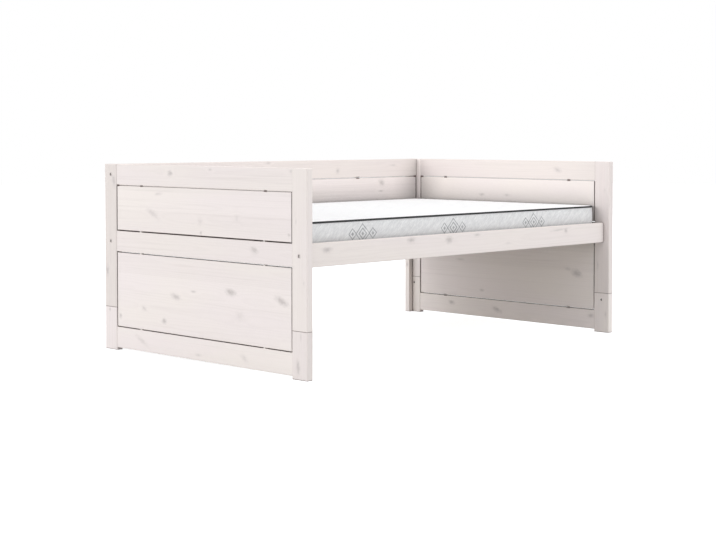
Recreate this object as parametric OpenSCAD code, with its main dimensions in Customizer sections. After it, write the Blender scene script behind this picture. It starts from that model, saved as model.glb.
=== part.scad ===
// Cabin bed in whitewashed pine: two closed ends, a closed back, an open front and a slatted base
// with a loose mattress. Each end is a frame of two posts and three rails round two floating panels.
// The posts stand on screwed-on legs, and the rails and the back are bolted between the posts.
// All sizes are in millimetres. The origin is on the floor under the middle of the bed, X runs along
// the bed, the open front faces -Y and Z is up.

/* [Mattress] */
// Length of the mattress
mattress_length = 2000; // [1600:10:2200]
// Width of the mattress
mattress_width = 1200; // [900:10:1400]
// Thickness of the mattress at its edge
mattress_thickness = 120; // [90:1:180]
// Radius of the mattress corners, seen from above
mattress_corner_radius = 55; // [30:1:90]
// Space between the mattress and each end of the bed
mattress_end_gap = 3; // [1:0.5:10]
// Space between the mattress and each side of the bed
mattress_side_gap = 8.5; // [3:0.5:20]
// Thickness of the quilted top and bottom panels
quilt_thickness = 15; // [10:1:25]
// Thickness of the border that runs round the core
border_thickness = 15; // [13:1:25]
// How far the border swells out between its two seams
border_swell = 3; // [0:0.5:5]
// Diameter of the piping sewn into each seam
piping_diameter = 7; // [5:0.5:8]
// How far the piping lies in from the top or bottom face
piping_cover = 0.5; // [0:0.5:5]
// Height of the rounded lip at the edge of each quilted panel
lip_height = 3.5; // [1:0.5:4]
// Rise of the top panel from its edge to its middle
crown_height = 4; // [1:0.5:12]
// Distance from the edge over which the top panel rises
crown_reach = 300; // [100:10:400]

/* [Posts and legs] */
// Thickness of a post, along the bed
post_thickness = 32; // [30:1:45]
// Width of a post, across the bed
post_width = 87; // [82:1:120]
// Height of the screwed-on leg under each post
leg_height = 194; // [160:1:260]
// Radius on the long edges and the top of a post
post_arris = 4; // [2:0.5:7]
// Radius on the two edges that meet at the joint between post and leg
seam_arris = 2.5; // [0.5:0.5:3]

/* [End frames] */
// Height of the top, middle and bottom rails of an end
end_rail_height = 94; // [84:1:110]
// Height of the panel under the middle rail
lower_panel_height = 333; // [260:1:420]
// Height of the panel over the middle rail
upper_panel_height = 199.5; // [140:0.5:300]
// Space between the floor and the bottom rail
floor_gap = 12; // [5:1:30]
// Open gap above and below a lower panel, and below an upper one
panel_gap = 4; // [2:0.5:7]
// Open gap above an upper panel
top_gap = 2.5; // [1.5:0.5:5]
// Open gap between a panel and the posts beside it
panel_side_gap = 5; // [2:0.5:8]
// How far the rails and panels lie behind each face of the posts
frame_reveal = 2; // [0.5:0.5:4]
// Radius on the long edges of the rails
rail_arris = 3; // [1:0.5:6]
// Radius on the edges of the panels
panel_arris = 2; // [1:0.5:4]

/* [Side rails and back] */
// Height of the front and back side rails
side_rail_height = 96; // [88:1:115]
// Thickness of the side rails and of the whole back
side_rail_thickness = 27; // [24:1:32]
// How far the side rails and the back lie in from the outer edge of the posts
side_recess = 32; // [22:1:36]
// Thickness of the upright batten behind the back, along the bed
batten_thickness = 27; // [20:1:40]

/* [Slatted base] */
// Number of slats
slat_count = 15; // [10:1:15]
// Width of a slat, along the bed
slat_width = 70; // [50:1:85]
// Thickness of a slat
slat_thickness = 22; // [18:1:26]
// Space between the first slat and the end of the bed
slat_end_gap = 20; // [5:1:60]
// Space between a slat's end and the side rail
slat_side_gap = 3; // [1:0.5:8]
// Width of the cleat that carries the slats
cleat_width = 28; // [22:1:40]
// Height of the cleat that carries the slats
cleat_height = 30; // [24:1:34]
// Height of the cleat's underside over the bottom of the side rail
cleat_rise = 7; // [3:1:12]
// Space between the cleat's end and the post
cleat_end_gap = 10; // [2:1:40]
// Distance between the two straps that tie the slats together
webbing_spacing = 600; // [300:10:650]
// Width of a strap
webbing_width = 30; // [20:1:50]
// Thickness of a strap
webbing_thickness = 1.5; // [1:0.25:3]

/* [Bolts and barrel nuts] */
// Shank diameter of the connecting bolts and leg studs
bolt_diameter = 6; // [5:0.5:8]
// Diameter of a bolt's head
bolt_head_diameter = 12; // [10:0.5:13]
// Height of a bolt's head
bolt_head_height = 5; // [4:0.5:6]
// Depth of the counterbore that hides a bolt's head
bolt_seat_depth = 9; // [7:0.5:12]
// Width of the hexagon socket across its corners
socket_size = 5.8; // [4:0.1:7]
// Depth of the hexagon socket
socket_depth = 3; // [2:0.5:3.5]
// Diameter of a barrel nut
barrel_nut_diameter = 10; // [9:0.5:12]
// Length of a barrel nut
barrel_nut_length = 16; // [12:1:18]
// Distance from a joint to the barrel nut behind it
barrel_nut_setback = 40; // [25:1:60]
// How far a bolt or stud reaches past the middle of its barrel nut
bolt_overrun = 8; // [6:1:12]
// Distance from the leg joint down to the leg's barrel nut
leg_nut_drop = 33; // [20:1:45]
// How far a leg stud reaches up into its post
stud_rise = 45; // [30:1:60]

/* [Dowels and screws] */
// Diameter of the dowels in the end frames and legs
dowel_diameter = 10; // [8:0.5:12]
// Depth to which a dowel enters each rail, post or leg
dowel_depth = 28; // [20:1:30]
// Distance between the two dowels at a rail's end
dowel_spacing = 50; // [36:1:58]
// Distance between the two dowels on top of a leg
leg_dowel_spacing = 48; // [34:1:56]
// Depth to which a panel dowel enters the panel and the rail
panel_dowel_depth = 20; // [15:1:30]
// Distance from an end panel's edge to its dowels
end_panel_dowel_inset = 166; // [100:1:250]
// Distance from the back panel's edge to its outer dowels
back_panel_dowel_inset = 457; // [300:1:600]
// Diameter of the dowels at the ends of the side rails
side_dowel_diameter = 8; // [6:0.5:10]
// Depth to which a side rail's dowel enters the post and the rail
side_dowel_depth = 20; // [12:1:24]
// Distance between the two dowels at a side rail's end
side_dowel_spacing = 64; // [54:1:70]
// Shank diameter of the wood screws
screw_diameter = 4.5; // [3.5:0.5:6]
// Diameter of the countersunk screw head
screw_head_diameter = 9; // [7:0.5:11]
// Depth to which a screw enters the piece that holds it
screw_bite = 17; // [10:1:20]
// Number of screws in each cleat
cleat_screw_count = 7; // [4:1:10]
// Distance along the bed from an end slat's screws to the nearest cleat screw
cleat_screw_offset = 15; // [10:1:60]
// Distance from the top of a batten to its upper screw
batten_screw_inset = 45; // [35:1:70]

/* [Clearances] */
// Space round a dowel, bolt, nut or screw in its hole
hole_clearance = 0.2; // [0.1:0.05:0.4]
// Space between a soft piece and what it lies on or in
soft_clearance = 0.3; // [0.2:0.05:0.6]
// Extra depth at the closed end of a hole
hole_end_clearance = 1; // [0.5:0.5:2]

/* [Hidden] */
$fn = 48;

// Whole bed
inner_length = mattress_length + 2 * mattress_end_gap;
inner_width = mattress_width + 2 * mattress_side_gap;
bed_length = inner_length + 2 * post_thickness;
bed_width = inner_width + 2 * (side_rail_thickness + side_recess);

// Heights in an end frame, from the floor up
bottom_rail_z = floor_gap;
lower_panel_z = bottom_rail_z + end_rail_height + panel_gap;
middle_rail_z = lower_panel_z + lower_panel_height + panel_gap;
upper_panel_z = middle_rail_z + end_rail_height + panel_gap;
top_rail_z = upper_panel_z + upper_panel_height + top_gap;
bed_height = top_rail_z + end_rail_height;
end_rail_heights = [bottom_rail_z, middle_rail_z, top_rail_z];
// Middles of the four open gaps, from the floor up
first_gap_middle = lower_panel_z - panel_gap / 2;
second_gap_middle = middle_rail_z - panel_gap / 2;
third_gap_middle = upper_panel_z - panel_gap / 2;
top_gap_middle = top_rail_z - top_gap / 2;

// Boards of an end frame
end_board_thickness = post_thickness - 2 * frame_reveal;
end_rail_length = bed_width - 2 * post_width;
end_panel_length = end_rail_length - 2 * panel_side_gap;
end_panel_dowel_y = end_panel_length / 2 - end_panel_dowel_inset;

// Side rails and back
side_rail_z = middle_rail_z + end_rail_height - side_rail_height;
side_rail_middle = side_rail_z + side_rail_height / 2;
back_top_rail_middle = top_rail_z + end_rail_height / 2;
side_rail_centre = side_recess + side_rail_thickness / 2;
back_panel_length = inner_length - 2 * panel_side_gap;
back_panel_dowel_x = back_panel_length / 2 - back_panel_dowel_inset;

// Slatted base
cleat_z = side_rail_z + cleat_rise;
cleat_length = inner_length - 2 * cleat_end_gap;
slat_z = cleat_z + cleat_height;
slat_length = inner_width - 2 * slat_side_gap;
slat_run = inner_length - 2 * slat_end_gap - slat_width;
slat_pitch = slat_run / (slat_count - 1);
cleat_screw_run = slat_run - 2 * cleat_screw_offset;
cleat_centre_y = inner_width / 2 - cleat_width / 2;

// Mattress
mattress_z = slat_z + slat_thickness + soft_clearance;
mattress_top = mattress_z + mattress_thickness;
piping_radius = piping_diameter / 2;
seam_drop = piping_radius + piping_cover;
top_seam_z = mattress_top - seam_drop;
bottom_seam_z = mattress_z + seam_drop;
// The seams are cut in at 45 degrees round the piping, and this is how deep the cut goes
seam_notch = piping_radius * (1 + sqrt(2)) + 2 * soft_clearance;
lip_rise = min(lip_height, seam_drop);
corner_steps = 8;
smallest_corner = 5;
border_steps = 8;
crown_steps = 6;

// Fittings
bolt_length = post_thickness - bolt_seat_depth + barrel_nut_setback + bolt_overrun;
stud_length = leg_nut_drop + bolt_overrun + stud_rise;
cleat_screw_length = cleat_width + screw_bite;
batten_screw_length = batten_thickness + screw_bite;
slat_screw_length = slat_thickness + screw_bite;
batten_screw_heights = [
    side_rail_middle,
    (side_rail_middle + bed_height - batten_screw_inset) / 2,
    bed_height - batten_screw_inset
];
screw_tip_length = 6;
screw_tip_diameter = 1;
screw_slot_width = 1;
screw_slot_depth = 1.5;
nut_slot_width = 1.6;
nut_slot_depth = 2;
cut = 1;

// Colours
pine = [0.93, 0.90, 0.88];
pine_inside = [0.90, 0.86, 0.82];
beech = [0.82, 0.68, 0.50];
steel = [0.62, 0.63, 0.65];
strap = [0.86, 0.85, 0.82];
ticking = [0.97, 0.97, 0.98];
border_cloth = [0.82, 0.83, 0.85];
piping_cloth = [0.12, 0.12, 0.13];
foam = [0.95, 0.91, 0.78];

slat_names = [for (number = [1:slat_count]) str("slat_", number < 10 ? "0" : "", number)];

LEFT = -1;
RIGHT = 1;
FRONT = -1;
BACK = 1;

// Shared shapes

// Waste outside a rounded corner whose point is at the origin
module corner_waste(radius) {
    difference() {
        translate([-cut, -cut])
            square(radius + cut);
        translate([radius, radius])
            circle(radius);
    }
}

// Rectangle with one radius on its two lower corners and another on its two upper corners
module soft_rectangle(size, lower, upper) {
    difference() {
        square(size);
        corner_waste(lower);
        translate([size.x, 0])
            mirror([1, 0])
                corner_waste(lower);
        translate([0, size.y])
            mirror([0, 1])
                corner_waste(upper);
        translate(size)
            rotate(180)
                corner_waste(upper);
    }
}

// Board with every edge rounded: the sides by one radius, the two ends in Z by their own
module soft_block(size, side, lower, upper) {
    intersection() {
        linear_extrude(size.z)
            soft_rectangle([size.x, size.y], side, side);
        rotate([90, 0, 90])
            linear_extrude(size.x)
                soft_rectangle([size.y, size.z], lower, upper);
        translate([0, size.y, 0])
            rotate([90, 0, 0])
                linear_extrude(size.y)
                    soft_rectangle([size.x, size.z], lower, upper);
    }
}

// Board along X with rounded long edges and square ends
module board_along_x(size, radius) {
    rotate([90, 0, 90])
        linear_extrude(size.x)
            soft_rectangle([size.y, size.z], radius, radius);
}

// Board along Y with rounded long edges and square ends
module board_along_y(size, radius) {
    translate([0, size.y, 0])
        rotate([90, 0, 0])
            linear_extrude(size.y)
                soft_rectangle([size.x, size.z], radius, radius);
}

// Puts its children at one corner of the bed, where X and Y are measured inwards
// from the outer faces of the corner post
module at_corner(end, side) {
    mirror([end == RIGHT ? 1 : 0, 0, 0])
        mirror([0, side == BACK ? 1 : 0, 0])
            translate([-bed_length / 2, -bed_width / 2, 0])
                children();
}

// Round bar or hole along X, Y or Z, centred on the origin
module bar_along_x(diameter, length) {
    rotate([0, 90, 0])
        cylinder(d = diameter, h = length, center = true);
}

module bar_along_y(diameter, length) {
    rotate([90, 0, 0])
        cylinder(d = diameter, h = length, center = true);
}

module bar_along_z(diameter, length) {
    cylinder(d = diameter, h = length, center = true);
}

// Fittings between the posts and the side rails, placed by at_corner

// Heights of the rails that are bolted to the posts on one side
function bolted_heights(side) =
    side == FRONT ? [side_rail_middle] : [side_rail_middle, back_top_rail_middle];

// Puts its children on the axis of each bolt at one corner
module at_bolts(end, side) {
    at_corner(end, side)
        for (height = bolted_heights(side))
            translate([0, side_rail_centre, height])
                children();
}

// Connecting bolt with its head sunk in the post and a hexagon socket
module frame_bolt() {
    difference() {
        union() {
            translate([bolt_seat_depth - bolt_head_height, 0, 0])
                rotate([0, 90, 0])
                    cylinder(d = bolt_head_diameter, h = bolt_head_height);
            translate([bolt_seat_depth - cut, 0, 0])
                rotate([0, 90, 0])
                    cylinder(d = bolt_diameter, h = bolt_length + cut);
        }
        translate([bolt_seat_depth - bolt_head_height - cut, 0, 0])
            rotate([0, 90, 0])
                cylinder(d = socket_size, h = socket_depth + cut, $fn = 6);
    }
}

// Hole and counterbore for a connecting bolt, through the post and into the rail's end
module bolt_hole() {
    translate([-cut, 0, 0])
        rotate([0, 90, 0])
            cylinder(
                d = bolt_head_diameter + 4 * hole_clearance,
                h = bolt_seat_depth + cut
            );
    rotate([0, 90, 0])
        cylinder(
            d = bolt_diameter + 2 * hole_clearance,
            h = bolt_seat_depth + bolt_length + hole_end_clearance
        );
}

// Barrel nut across a bolt, with a screwdriver slot in its open end
module barrel_nut() {
    difference() {
        bar_along_z(barrel_nut_diameter, barrel_nut_length);
        bar_along_x(bolt_diameter + 2 * hole_clearance, barrel_nut_diameter + 2 * cut);
        translate([0, 0, barrel_nut_length / 2])
            cube([barrel_nut_diameter + 2 * cut, nut_slot_width, 2 * nut_slot_depth], center = true);
    }
}

// Blind hole for a barrel nut: it opens along +Z at the given distance from the nut's middle
module barrel_nut_hole(opening) {
    depth = barrel_nut_length / 2 + hole_end_clearance;
    translate([0, 0, -depth])
        cylinder(d = barrel_nut_diameter + 2 * hole_clearance, h = depth + opening + cut);
}

// Place of a barrel nut behind a bolted joint. Its open end is on the inner face of the front
// rail, where the mattress hides it, and on the outer face of the rails of the back
module at_frame_nut(side) {
    translate([post_thickness + barrel_nut_setback, 0, 0])
        rotate([side == FRONT ? -90 : 90, 0, 0])
            children();
}

// Puts its children on the two dowel axes at a side rail's end
module at_side_dowels() {
    for (offset = [-side_dowel_spacing / 2, side_dowel_spacing / 2])
        translate([post_thickness, 0, offset])
            children();
}

module side_dowel_holes() {
    at_side_dowels()
        bar_along_x(
            side_dowel_diameter + 2 * hole_clearance,
            2 * (side_dowel_depth + hole_end_clearance)
        );
}

// Fittings between the posts and the end rails

// Puts its children on the dowel axes at the ends of one end rail
module at_end_dowels(end, rail_z) {
    for (side = [FRONT, BACK])
        at_corner(end, side)
            for (offset = [-dowel_spacing / 2, dowel_spacing / 2])
                translate([post_thickness / 2, post_width, rail_z + end_rail_height / 2 + offset])
                    children();
}

module end_dowel_holes(end, rail_z) {
    at_end_dowels(end, rail_z)
        bar_along_y(
            dowel_diameter + 2 * hole_clearance,
            2 * (dowel_depth + hole_end_clearance)
        );
}

// Fittings between the panels and the rails

// Puts its children on the axes of the dowels in an end panel's gap, in the middle of the gap
module at_end_panel_dowels(end, gap_middle) {
    for (y = [-end_panel_dowel_y, end_panel_dowel_y])
        translate([end * (bed_length - post_thickness) / 2, y, gap_middle])
            children();
}

// Puts its children on the axes of the dowels in the back panel's gap, in the middle of the gap
module at_back_panel_dowels(gap_middle) {
    for (x = [-back_panel_dowel_x, 0, back_panel_dowel_x])
        translate([x, bed_width / 2 - side_rail_centre, gap_middle])
            children();
}

module panel_dowel() {
    bar_along_z(dowel_diameter, panel_gap + 2 * panel_dowel_depth);
}

module panel_dowel_hole() {
    bar_along_z(
        dowel_diameter + 2 * hole_clearance,
        panel_gap + 2 * (panel_dowel_depth + hole_end_clearance)
    );
}

// Fittings between a post and its leg, placed by at_corner

// Puts its children on the two dowel axes in the joint between post and leg
module at_leg_dowels() {
    for (offset = [-leg_dowel_spacing / 2, leg_dowel_spacing / 2])
        translate([post_thickness / 2, post_width / 2 + offset, leg_height])
            children();
}

module leg_stud() {
    translate([post_thickness / 2, post_width / 2, leg_height - leg_nut_drop - bolt_overrun])
        cylinder(d = bolt_diameter, h = stud_length);
}

// Place of the barrel nut in a leg: its open end faces the middle of the bed
module at_leg_nut() {
    translate([post_thickness / 2, post_width / 2, leg_height - leg_nut_drop])
        rotate([0, 90, 0])
            children();
}

module leg_joint_holes() {
    at_leg_dowels()
        bar_along_z(
            dowel_diameter + 2 * hole_clearance,
            2 * (dowel_depth + hole_end_clearance)
        );
    translate([
        post_thickness / 2,
        post_width / 2,
        leg_height - leg_nut_drop - bolt_overrun - hole_end_clearance
    ])
        cylinder(d = bolt_diameter + 2 * hole_clearance, h = stud_length + 2 * hole_end_clearance);
}

// Wood screws

// Height of the countersunk head, which tapers at 45 degrees a side
function screw_head_height() = (screw_head_diameter - screw_diameter) / 2;

// Countersunk wood screw that points down from the origin, with a cross slot
module screw(length) {
    difference() {
        union() {
            translate([0, 0, -screw_head_height()])
                cylinder(d1 = screw_diameter, d2 = screw_head_diameter, h = screw_head_height());
            translate([0, 0, screw_tip_length - length])
                cylinder(d = screw_diameter, h = length - screw_tip_length - screw_head_height());
            translate([0, 0, -length])
                cylinder(d1 = screw_tip_diameter, d2 = screw_diameter, h = screw_tip_length);
        }
        for (angle = [0, 90])
            rotate([0, 0, angle])
                cube([screw_head_diameter / 2, screw_slot_width, 2 * screw_slot_depth], center = true);
    }
}

// Hole for such a screw, a little wider and deeper all round
module screw_hole(length) {
    translate([0, 0, -length - hole_end_clearance])
        cylinder(d = screw_diameter + 2 * hole_clearance, h = length + hole_end_clearance);
    translate([0, 0, -screw_head_height()])
        cylinder(
            d1 = screw_diameter + 2 * hole_clearance,
            d2 = screw_head_diameter + 2 * (hole_clearance + cut),
            h = screw_head_height() + cut
        );
}

// Puts its children at each screw of one cleat, pointing into the side rail
module at_cleat_screws(side) {
    for (number = [0:cleat_screw_count - 1])
        translate([
            cleat_screw_run * (number / (cleat_screw_count - 1) - 0.5),
            side * (inner_width / 2 - cleat_width),
            cleat_z + cleat_height / 2
        ])
            rotate([side * 90, 0, 0])
                children();
}

// Puts its children at each screw of the batten at one end, pointing into the post
module at_batten_screws(end) {
    at_corner(end, BACK)
        for (height = batten_screw_heights)
            translate([post_thickness + batten_thickness, side_recess / 2, height])
                rotate([0, 90, 0])
                    children();
}

// Puts its children at the screws of the first and last slats, pointing into the cleats
module at_slat_screws() {
    for (x = [-slat_run / 2, slat_run / 2], y = [-cleat_centre_y, cleat_centre_y])
        translate([x, y, slat_z + slat_thickness])
            children();
}

// Posts and legs

module post(end, side) {
    color(pine)
        difference() {
            at_corner(end, side)
                translate([0, 0, leg_height])
                    soft_block(
                        [post_thickness, post_width, bed_height - leg_height],
                        post_arris,
                        seam_arris,
                        post_arris
                    );
            at_bolts(end, side) {
                bolt_hole();
                side_dowel_holes();
            }
            for (rail_z = [middle_rail_z, top_rail_z])
                end_dowel_holes(end, rail_z);
            at_corner(end, side)
                leg_joint_holes();
            if (side == BACK)
                at_batten_screws(end)
                    screw_hole(batten_screw_length);
        }
}

module leg(end, side) {
    color(pine)
        difference() {
            at_corner(end, side)
                soft_block([post_thickness, post_width, leg_height], post_arris, seam_arris, seam_arris);
            end_dowel_holes(end, bottom_rail_z);
            at_corner(end, side) {
                leg_joint_holes();
                at_leg_nut()
                    barrel_nut_hole(post_thickness / 2);
            }
        }
}

module front_left_post() {
    post(LEFT, FRONT);
}

module back_left_post() {
    post(LEFT, BACK);
}

module front_right_post() {
    post(RIGHT, FRONT);
}

module back_right_post() {
    post(RIGHT, BACK);
}

module front_left_leg() {
    leg(LEFT, FRONT);
}

module back_left_leg() {
    leg(LEFT, BACK);
}

module front_right_leg() {
    leg(RIGHT, FRONT);
}

module back_right_leg() {
    leg(RIGHT, BACK);
}

// Rails and panels of the two ends

// Rail across one end, with the panel gaps that touch it given by the heights of their middles
module end_rail(end, rail_z, gaps) {
    color(pine)
        difference() {
            translate([
                end * (bed_length - post_thickness) / 2 - end_board_thickness / 2,
                -end_rail_length / 2,
                rail_z
            ])
                board_along_y([end_board_thickness, end_rail_length, end_rail_height], rail_arris);
            end_dowel_holes(end, rail_z);
            for (gap_middle = gaps)
                at_end_panel_dowels(end, gap_middle)
                    panel_dowel_hole();
        }
}

// Panel of one end, with the gaps under and over it given by the heights of their middles
module end_panel(end, panel_z, height, gaps) {
    color(pine)
        difference() {
            translate([
                end * (bed_length - post_thickness) / 2 - end_board_thickness / 2,
                -end_panel_length / 2,
                panel_z
            ])
                soft_block(
                    [end_board_thickness, end_panel_length, height],
                    panel_arris,
                    panel_arris,
                    panel_arris
                );
            for (gap_middle = gaps)
                at_end_panel_dowels(end, gap_middle)
                    panel_dowel_hole();
        }
}

module end_top_rail(end) {
    end_rail(end, top_rail_z, [top_gap_middle]);
}

module end_middle_rail(end) {
    end_rail(end, middle_rail_z, [second_gap_middle, third_gap_middle]);
}

module end_bottom_rail(end) {
    end_rail(end, bottom_rail_z, [first_gap_middle]);
}

module end_upper_panel(end) {
    end_panel(end, upper_panel_z, upper_panel_height, [third_gap_middle, top_gap_middle]);
}

module end_lower_panel(end) {
    end_panel(end, lower_panel_z, lower_panel_height, [first_gap_middle, second_gap_middle]);
}

module left_end_top_rail() {
    end_top_rail(LEFT);
}

module left_end_middle_rail() {
    end_middle_rail(LEFT);
}

module left_end_bottom_rail() {
    end_bottom_rail(LEFT);
}

module left_end_upper_panel() {
    end_upper_panel(LEFT);
}

module left_end_lower_panel() {
    end_lower_panel(LEFT);
}

module right_end_top_rail() {
    end_top_rail(RIGHT);
}

module right_end_middle_rail() {
    end_middle_rail(RIGHT);
}

module right_end_bottom_rail() {
    end_bottom_rail(RIGHT);
}

module right_end_upper_panel() {
    end_upper_panel(RIGHT);
}

module right_end_lower_panel() {
    end_lower_panel(RIGHT);
}

// Side rails and back

// Lowest Y of a board of the front or the back
function side_board_y(side) =
    side * (bed_width / 2 - side_rail_centre) - side_rail_thickness / 2;

// Holes for the bolts, nuts and dowels at both ends of the rails on one side
module side_rail_end_holes(side) {
    for (end = [LEFT, RIGHT])
        at_bolts(end, side) {
            bolt_hole();
            side_dowel_holes();
            at_frame_nut(side)
                barrel_nut_hole(side_rail_thickness / 2);
        }
}

module side_rail(side) {
    difference() {
        translate([-inner_length / 2, side_board_y(side), side_rail_z])
            board_along_x([inner_length, side_rail_thickness, side_rail_height], rail_arris);
        side_rail_end_holes(side);
        at_cleat_screws(side)
            screw_hole(cleat_screw_length);
    }
}

module front_side_rail() {
    color(pine)
        side_rail(FRONT);
}

module back_side_rail() {
    color(pine)
        difference() {
            side_rail(BACK);
            at_back_panel_dowels(third_gap_middle)
                panel_dowel_hole();
        }
}

module back_panel() {
    color(pine)
        difference() {
            translate([-back_panel_length / 2, side_board_y(BACK), upper_panel_z])
                soft_block(
                    [back_panel_length, side_rail_thickness, upper_panel_height],
                    panel_arris,
                    panel_arris,
                    panel_arris
                );
            for (gap_middle = [third_gap_middle, top_gap_middle])
                at_back_panel_dowels(gap_middle)
                    panel_dowel_hole();
        }
}

module back_top_rail() {
    color(pine)
        difference() {
            translate([-inner_length / 2, side_board_y(BACK), top_rail_z])
                board_along_x([inner_length, side_rail_thickness, end_rail_height], rail_arris);
            side_rail_end_holes(BACK);
            at_back_panel_dowels(top_gap_middle)
                panel_dowel_hole();
        }
}

// Upright that fills the corner behind the back, screwed to the post and glued to its leg
module batten(end) {
    color(pine)
        difference() {
            at_corner(end, BACK)
                translate([post_thickness, 0, 0])
                    soft_block([batten_thickness, side_recess, bed_height], rail_arris, seam_arris, rail_arris);
            at_batten_screws(end)
                screw_hole(batten_screw_length);
        }
}

module back_left_batten() {
    batten(LEFT);
}

module back_right_batten() {
    batten(RIGHT);
}

// Slatted base

module cleat(side) {
    color(pine_inside)
        difference() {
            translate([-cleat_length / 2, side * cleat_centre_y - cleat_width / 2, cleat_z])
                board_along_x([cleat_length, cleat_width, cleat_height], panel_arris);
            at_cleat_screws(side)
                screw_hole(cleat_screw_length);
            at_slat_screws()
                screw_hole(slat_screw_length);
        }
}

module front_cleat() {
    cleat(FRONT);
}

module back_cleat() {
    cleat(BACK);
}

// One slat, counted from the left end
module slat(index) {
    color(pine_inside)
        difference() {
            translate([-slat_run / 2 + index * slat_pitch - slat_width / 2, -slat_length / 2, slat_z])
                board_along_y([slat_width, slat_length, slat_thickness], rail_arris);
            at_slat_screws()
                screw_hole(slat_screw_length);
        }
}

// Two straps under the slats, which keep the slats apart and let them roll up as one mat
module slat_webbing() {
    color(strap)
        for (y = [-webbing_spacing / 2, webbing_spacing / 2])
            translate([
                -(slat_run + slat_width) / 2 + rail_arris,
                y - webbing_width / 2,
                slat_z - webbing_thickness
            ])
                cube([slat_run + slat_width - 2 * rail_arris, webbing_width, webbing_thickness]);
}

// Mattress

// Points of the mattress outline, seen from above, moved inwards and set at one height
function outline_ring(inset, height) =
    let (
        corner = max(mattress_corner_radius - inset, smallest_corner),
        half_x = mattress_length / 2 - inset - corner,
        half_y = mattress_width / 2 - inset - corner
    )
    [
        for (quarter = [0:3], step = [0:corner_steps])
            let (
                angle = 90 * (quarter + step / corner_steps),
                side_x = quarter == 0 || quarter == 3 ? 1 : -1,
                side_y = quarter < 2 ? 1 : -1
            )
            [side_x * half_x + corner * cos(angle), side_y * half_y + corner * sin(angle), height]
    ];

// Closed solid through a stack of outlines: each profile entry is an inset and a height,
// from the lowest outline to the highest
module lofted_pad(profile) {
    count = 4 * (corner_steps + 1);
    rings = len(profile);
    points = [for (entry = profile) each outline_ring(entry[0], entry[1])];
    lower_face = [for (i = [0:count - 1]) i];
    upper_face = [for (i = [count - 1:-1:0]) (rings - 1) * count + i];
    walls = [
        for (ring = [0:rings - 2], i = [0:count - 1])
            let (
                low = ring * count + i,
                low_next = ring * count + (i + 1) % count
            )
            each [
                [low, low + count, low_next + count],
                [low, low_next + count, low_next]
            ]
    ];
    polyhedron(points, concat([lower_face], walls, [upper_face]), convexity = 4);
}

// Solid with the plain mattress outline, moved inwards, between two heights
module outline_block(inset, low, high) {
    corner = max(mattress_corner_radius - inset, smallest_corner);
    length = mattress_length - 2 * inset;
    width = mattress_width - 2 * inset;
    translate([-length / 2, -width / 2, low])
        linear_extrude(high - low)
            soft_rectangle([length, width], corner, corner);
}

module mattress_core() {
    color(foam)
        outline_block(
            border_thickness + soft_clearance,
            mattress_z + quilt_thickness + soft_clearance,
            mattress_top - quilt_thickness - soft_clearance
        );
}

// Inset of the border's outer face at a share of its height, from 0 at one seam to 1 at the other
function swell_inset(share) = border_swell * (1 - sin(180 * share));

module mattress_border() {
    low = bottom_seam_z + seam_notch - border_swell;
    high = top_seam_z - seam_notch + border_swell;
    profile = concat(
        [[seam_notch, bottom_seam_z]],
        [
            for (step = [0:border_steps])
                [swell_inset(step / border_steps), low + (high - low) * step / border_steps]
        ],
        [[seam_notch, top_seam_z]]
    );
    color(border_cloth)
        difference() {
            lofted_pad(profile);
            outline_block(border_thickness, bottom_seam_z - cut, top_seam_z + cut);
        }
}

// Height of the top panel at a share of the crown's reach
function crown_rise(share) = crown_height * sin(90 * share);

module mattress_top_panel() {
    profile = concat(
        [
            [border_thickness + soft_clearance, mattress_top - quilt_thickness],
            [border_thickness + soft_clearance, top_seam_z],
            [seam_notch, top_seam_z],
            [seam_notch - lip_rise, top_seam_z + lip_rise]
        ],
        [
            for (step = [0:crown_steps])
                [seam_notch + crown_reach * step / crown_steps,
                    mattress_top + crown_rise(step / crown_steps)]
        ]
    );
    color(ticking)
        lofted_pad(profile);
}

module mattress_bottom_panel() {
    color(ticking)
        lofted_pad([
            [seam_notch, mattress_z],
            [seam_notch - lip_rise, bottom_seam_z - lip_rise],
            [seam_notch, bottom_seam_z],
            [border_thickness + soft_clearance, bottom_seam_z],
            [border_thickness + soft_clearance, mattress_z + quilt_thickness]
        ]);
}

// Closed round cord that follows the mattress outline
module piping(height) {
    inset = piping_radius;
    corner = mattress_corner_radius - inset;
    half_x = mattress_length / 2 - inset - corner;
    half_y = mattress_width / 2 - inset - corner;
    color(piping_cloth)
        translate([0, 0, height]) {
            for (side_x = [0, 1], side_y = [0, 1])
                mirror([side_x, 0, 0])
                    mirror([0, side_y, 0])
                        translate([half_x, half_y, 0])
                            rotate_extrude(angle = 90)
                                translate([corner, 0])
                                    circle(d = piping_diameter);
            for (side = [-1, 1]) {
                translate([0, side * (half_y + corner), 0])
                    bar_along_x(piping_diameter, 2 * half_x);
                translate([side * (half_x + corner), 0, 0])
                    bar_along_y(piping_diameter, 2 * half_y);
            }
        }
}

module mattress_top_piping() {
    piping(top_seam_z);
}

module mattress_bottom_piping() {
    piping(bottom_seam_z);
}

// Fittings, each kind as one group of separate pieces

module frame_bolts() {
    color(steel)
        for (end = [LEFT, RIGHT], side = [FRONT, BACK])
            at_bolts(end, side)
                frame_bolt();
}

module frame_barrel_nuts() {
    color(steel)
        for (end = [LEFT, RIGHT], side = [FRONT, BACK])
            at_bolts(end, side)
                at_frame_nut(side)
                    barrel_nut();
}

module leg_studs() {
    color(steel)
        for (end = [LEFT, RIGHT], side = [FRONT, BACK])
            at_corner(end, side)
                leg_stud();
}

module leg_barrel_nuts() {
    color(steel)
        for (end = [LEFT, RIGHT], side = [FRONT, BACK])
            at_corner(end, side)
                at_leg_nut()
                    barrel_nut();
}

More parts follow.
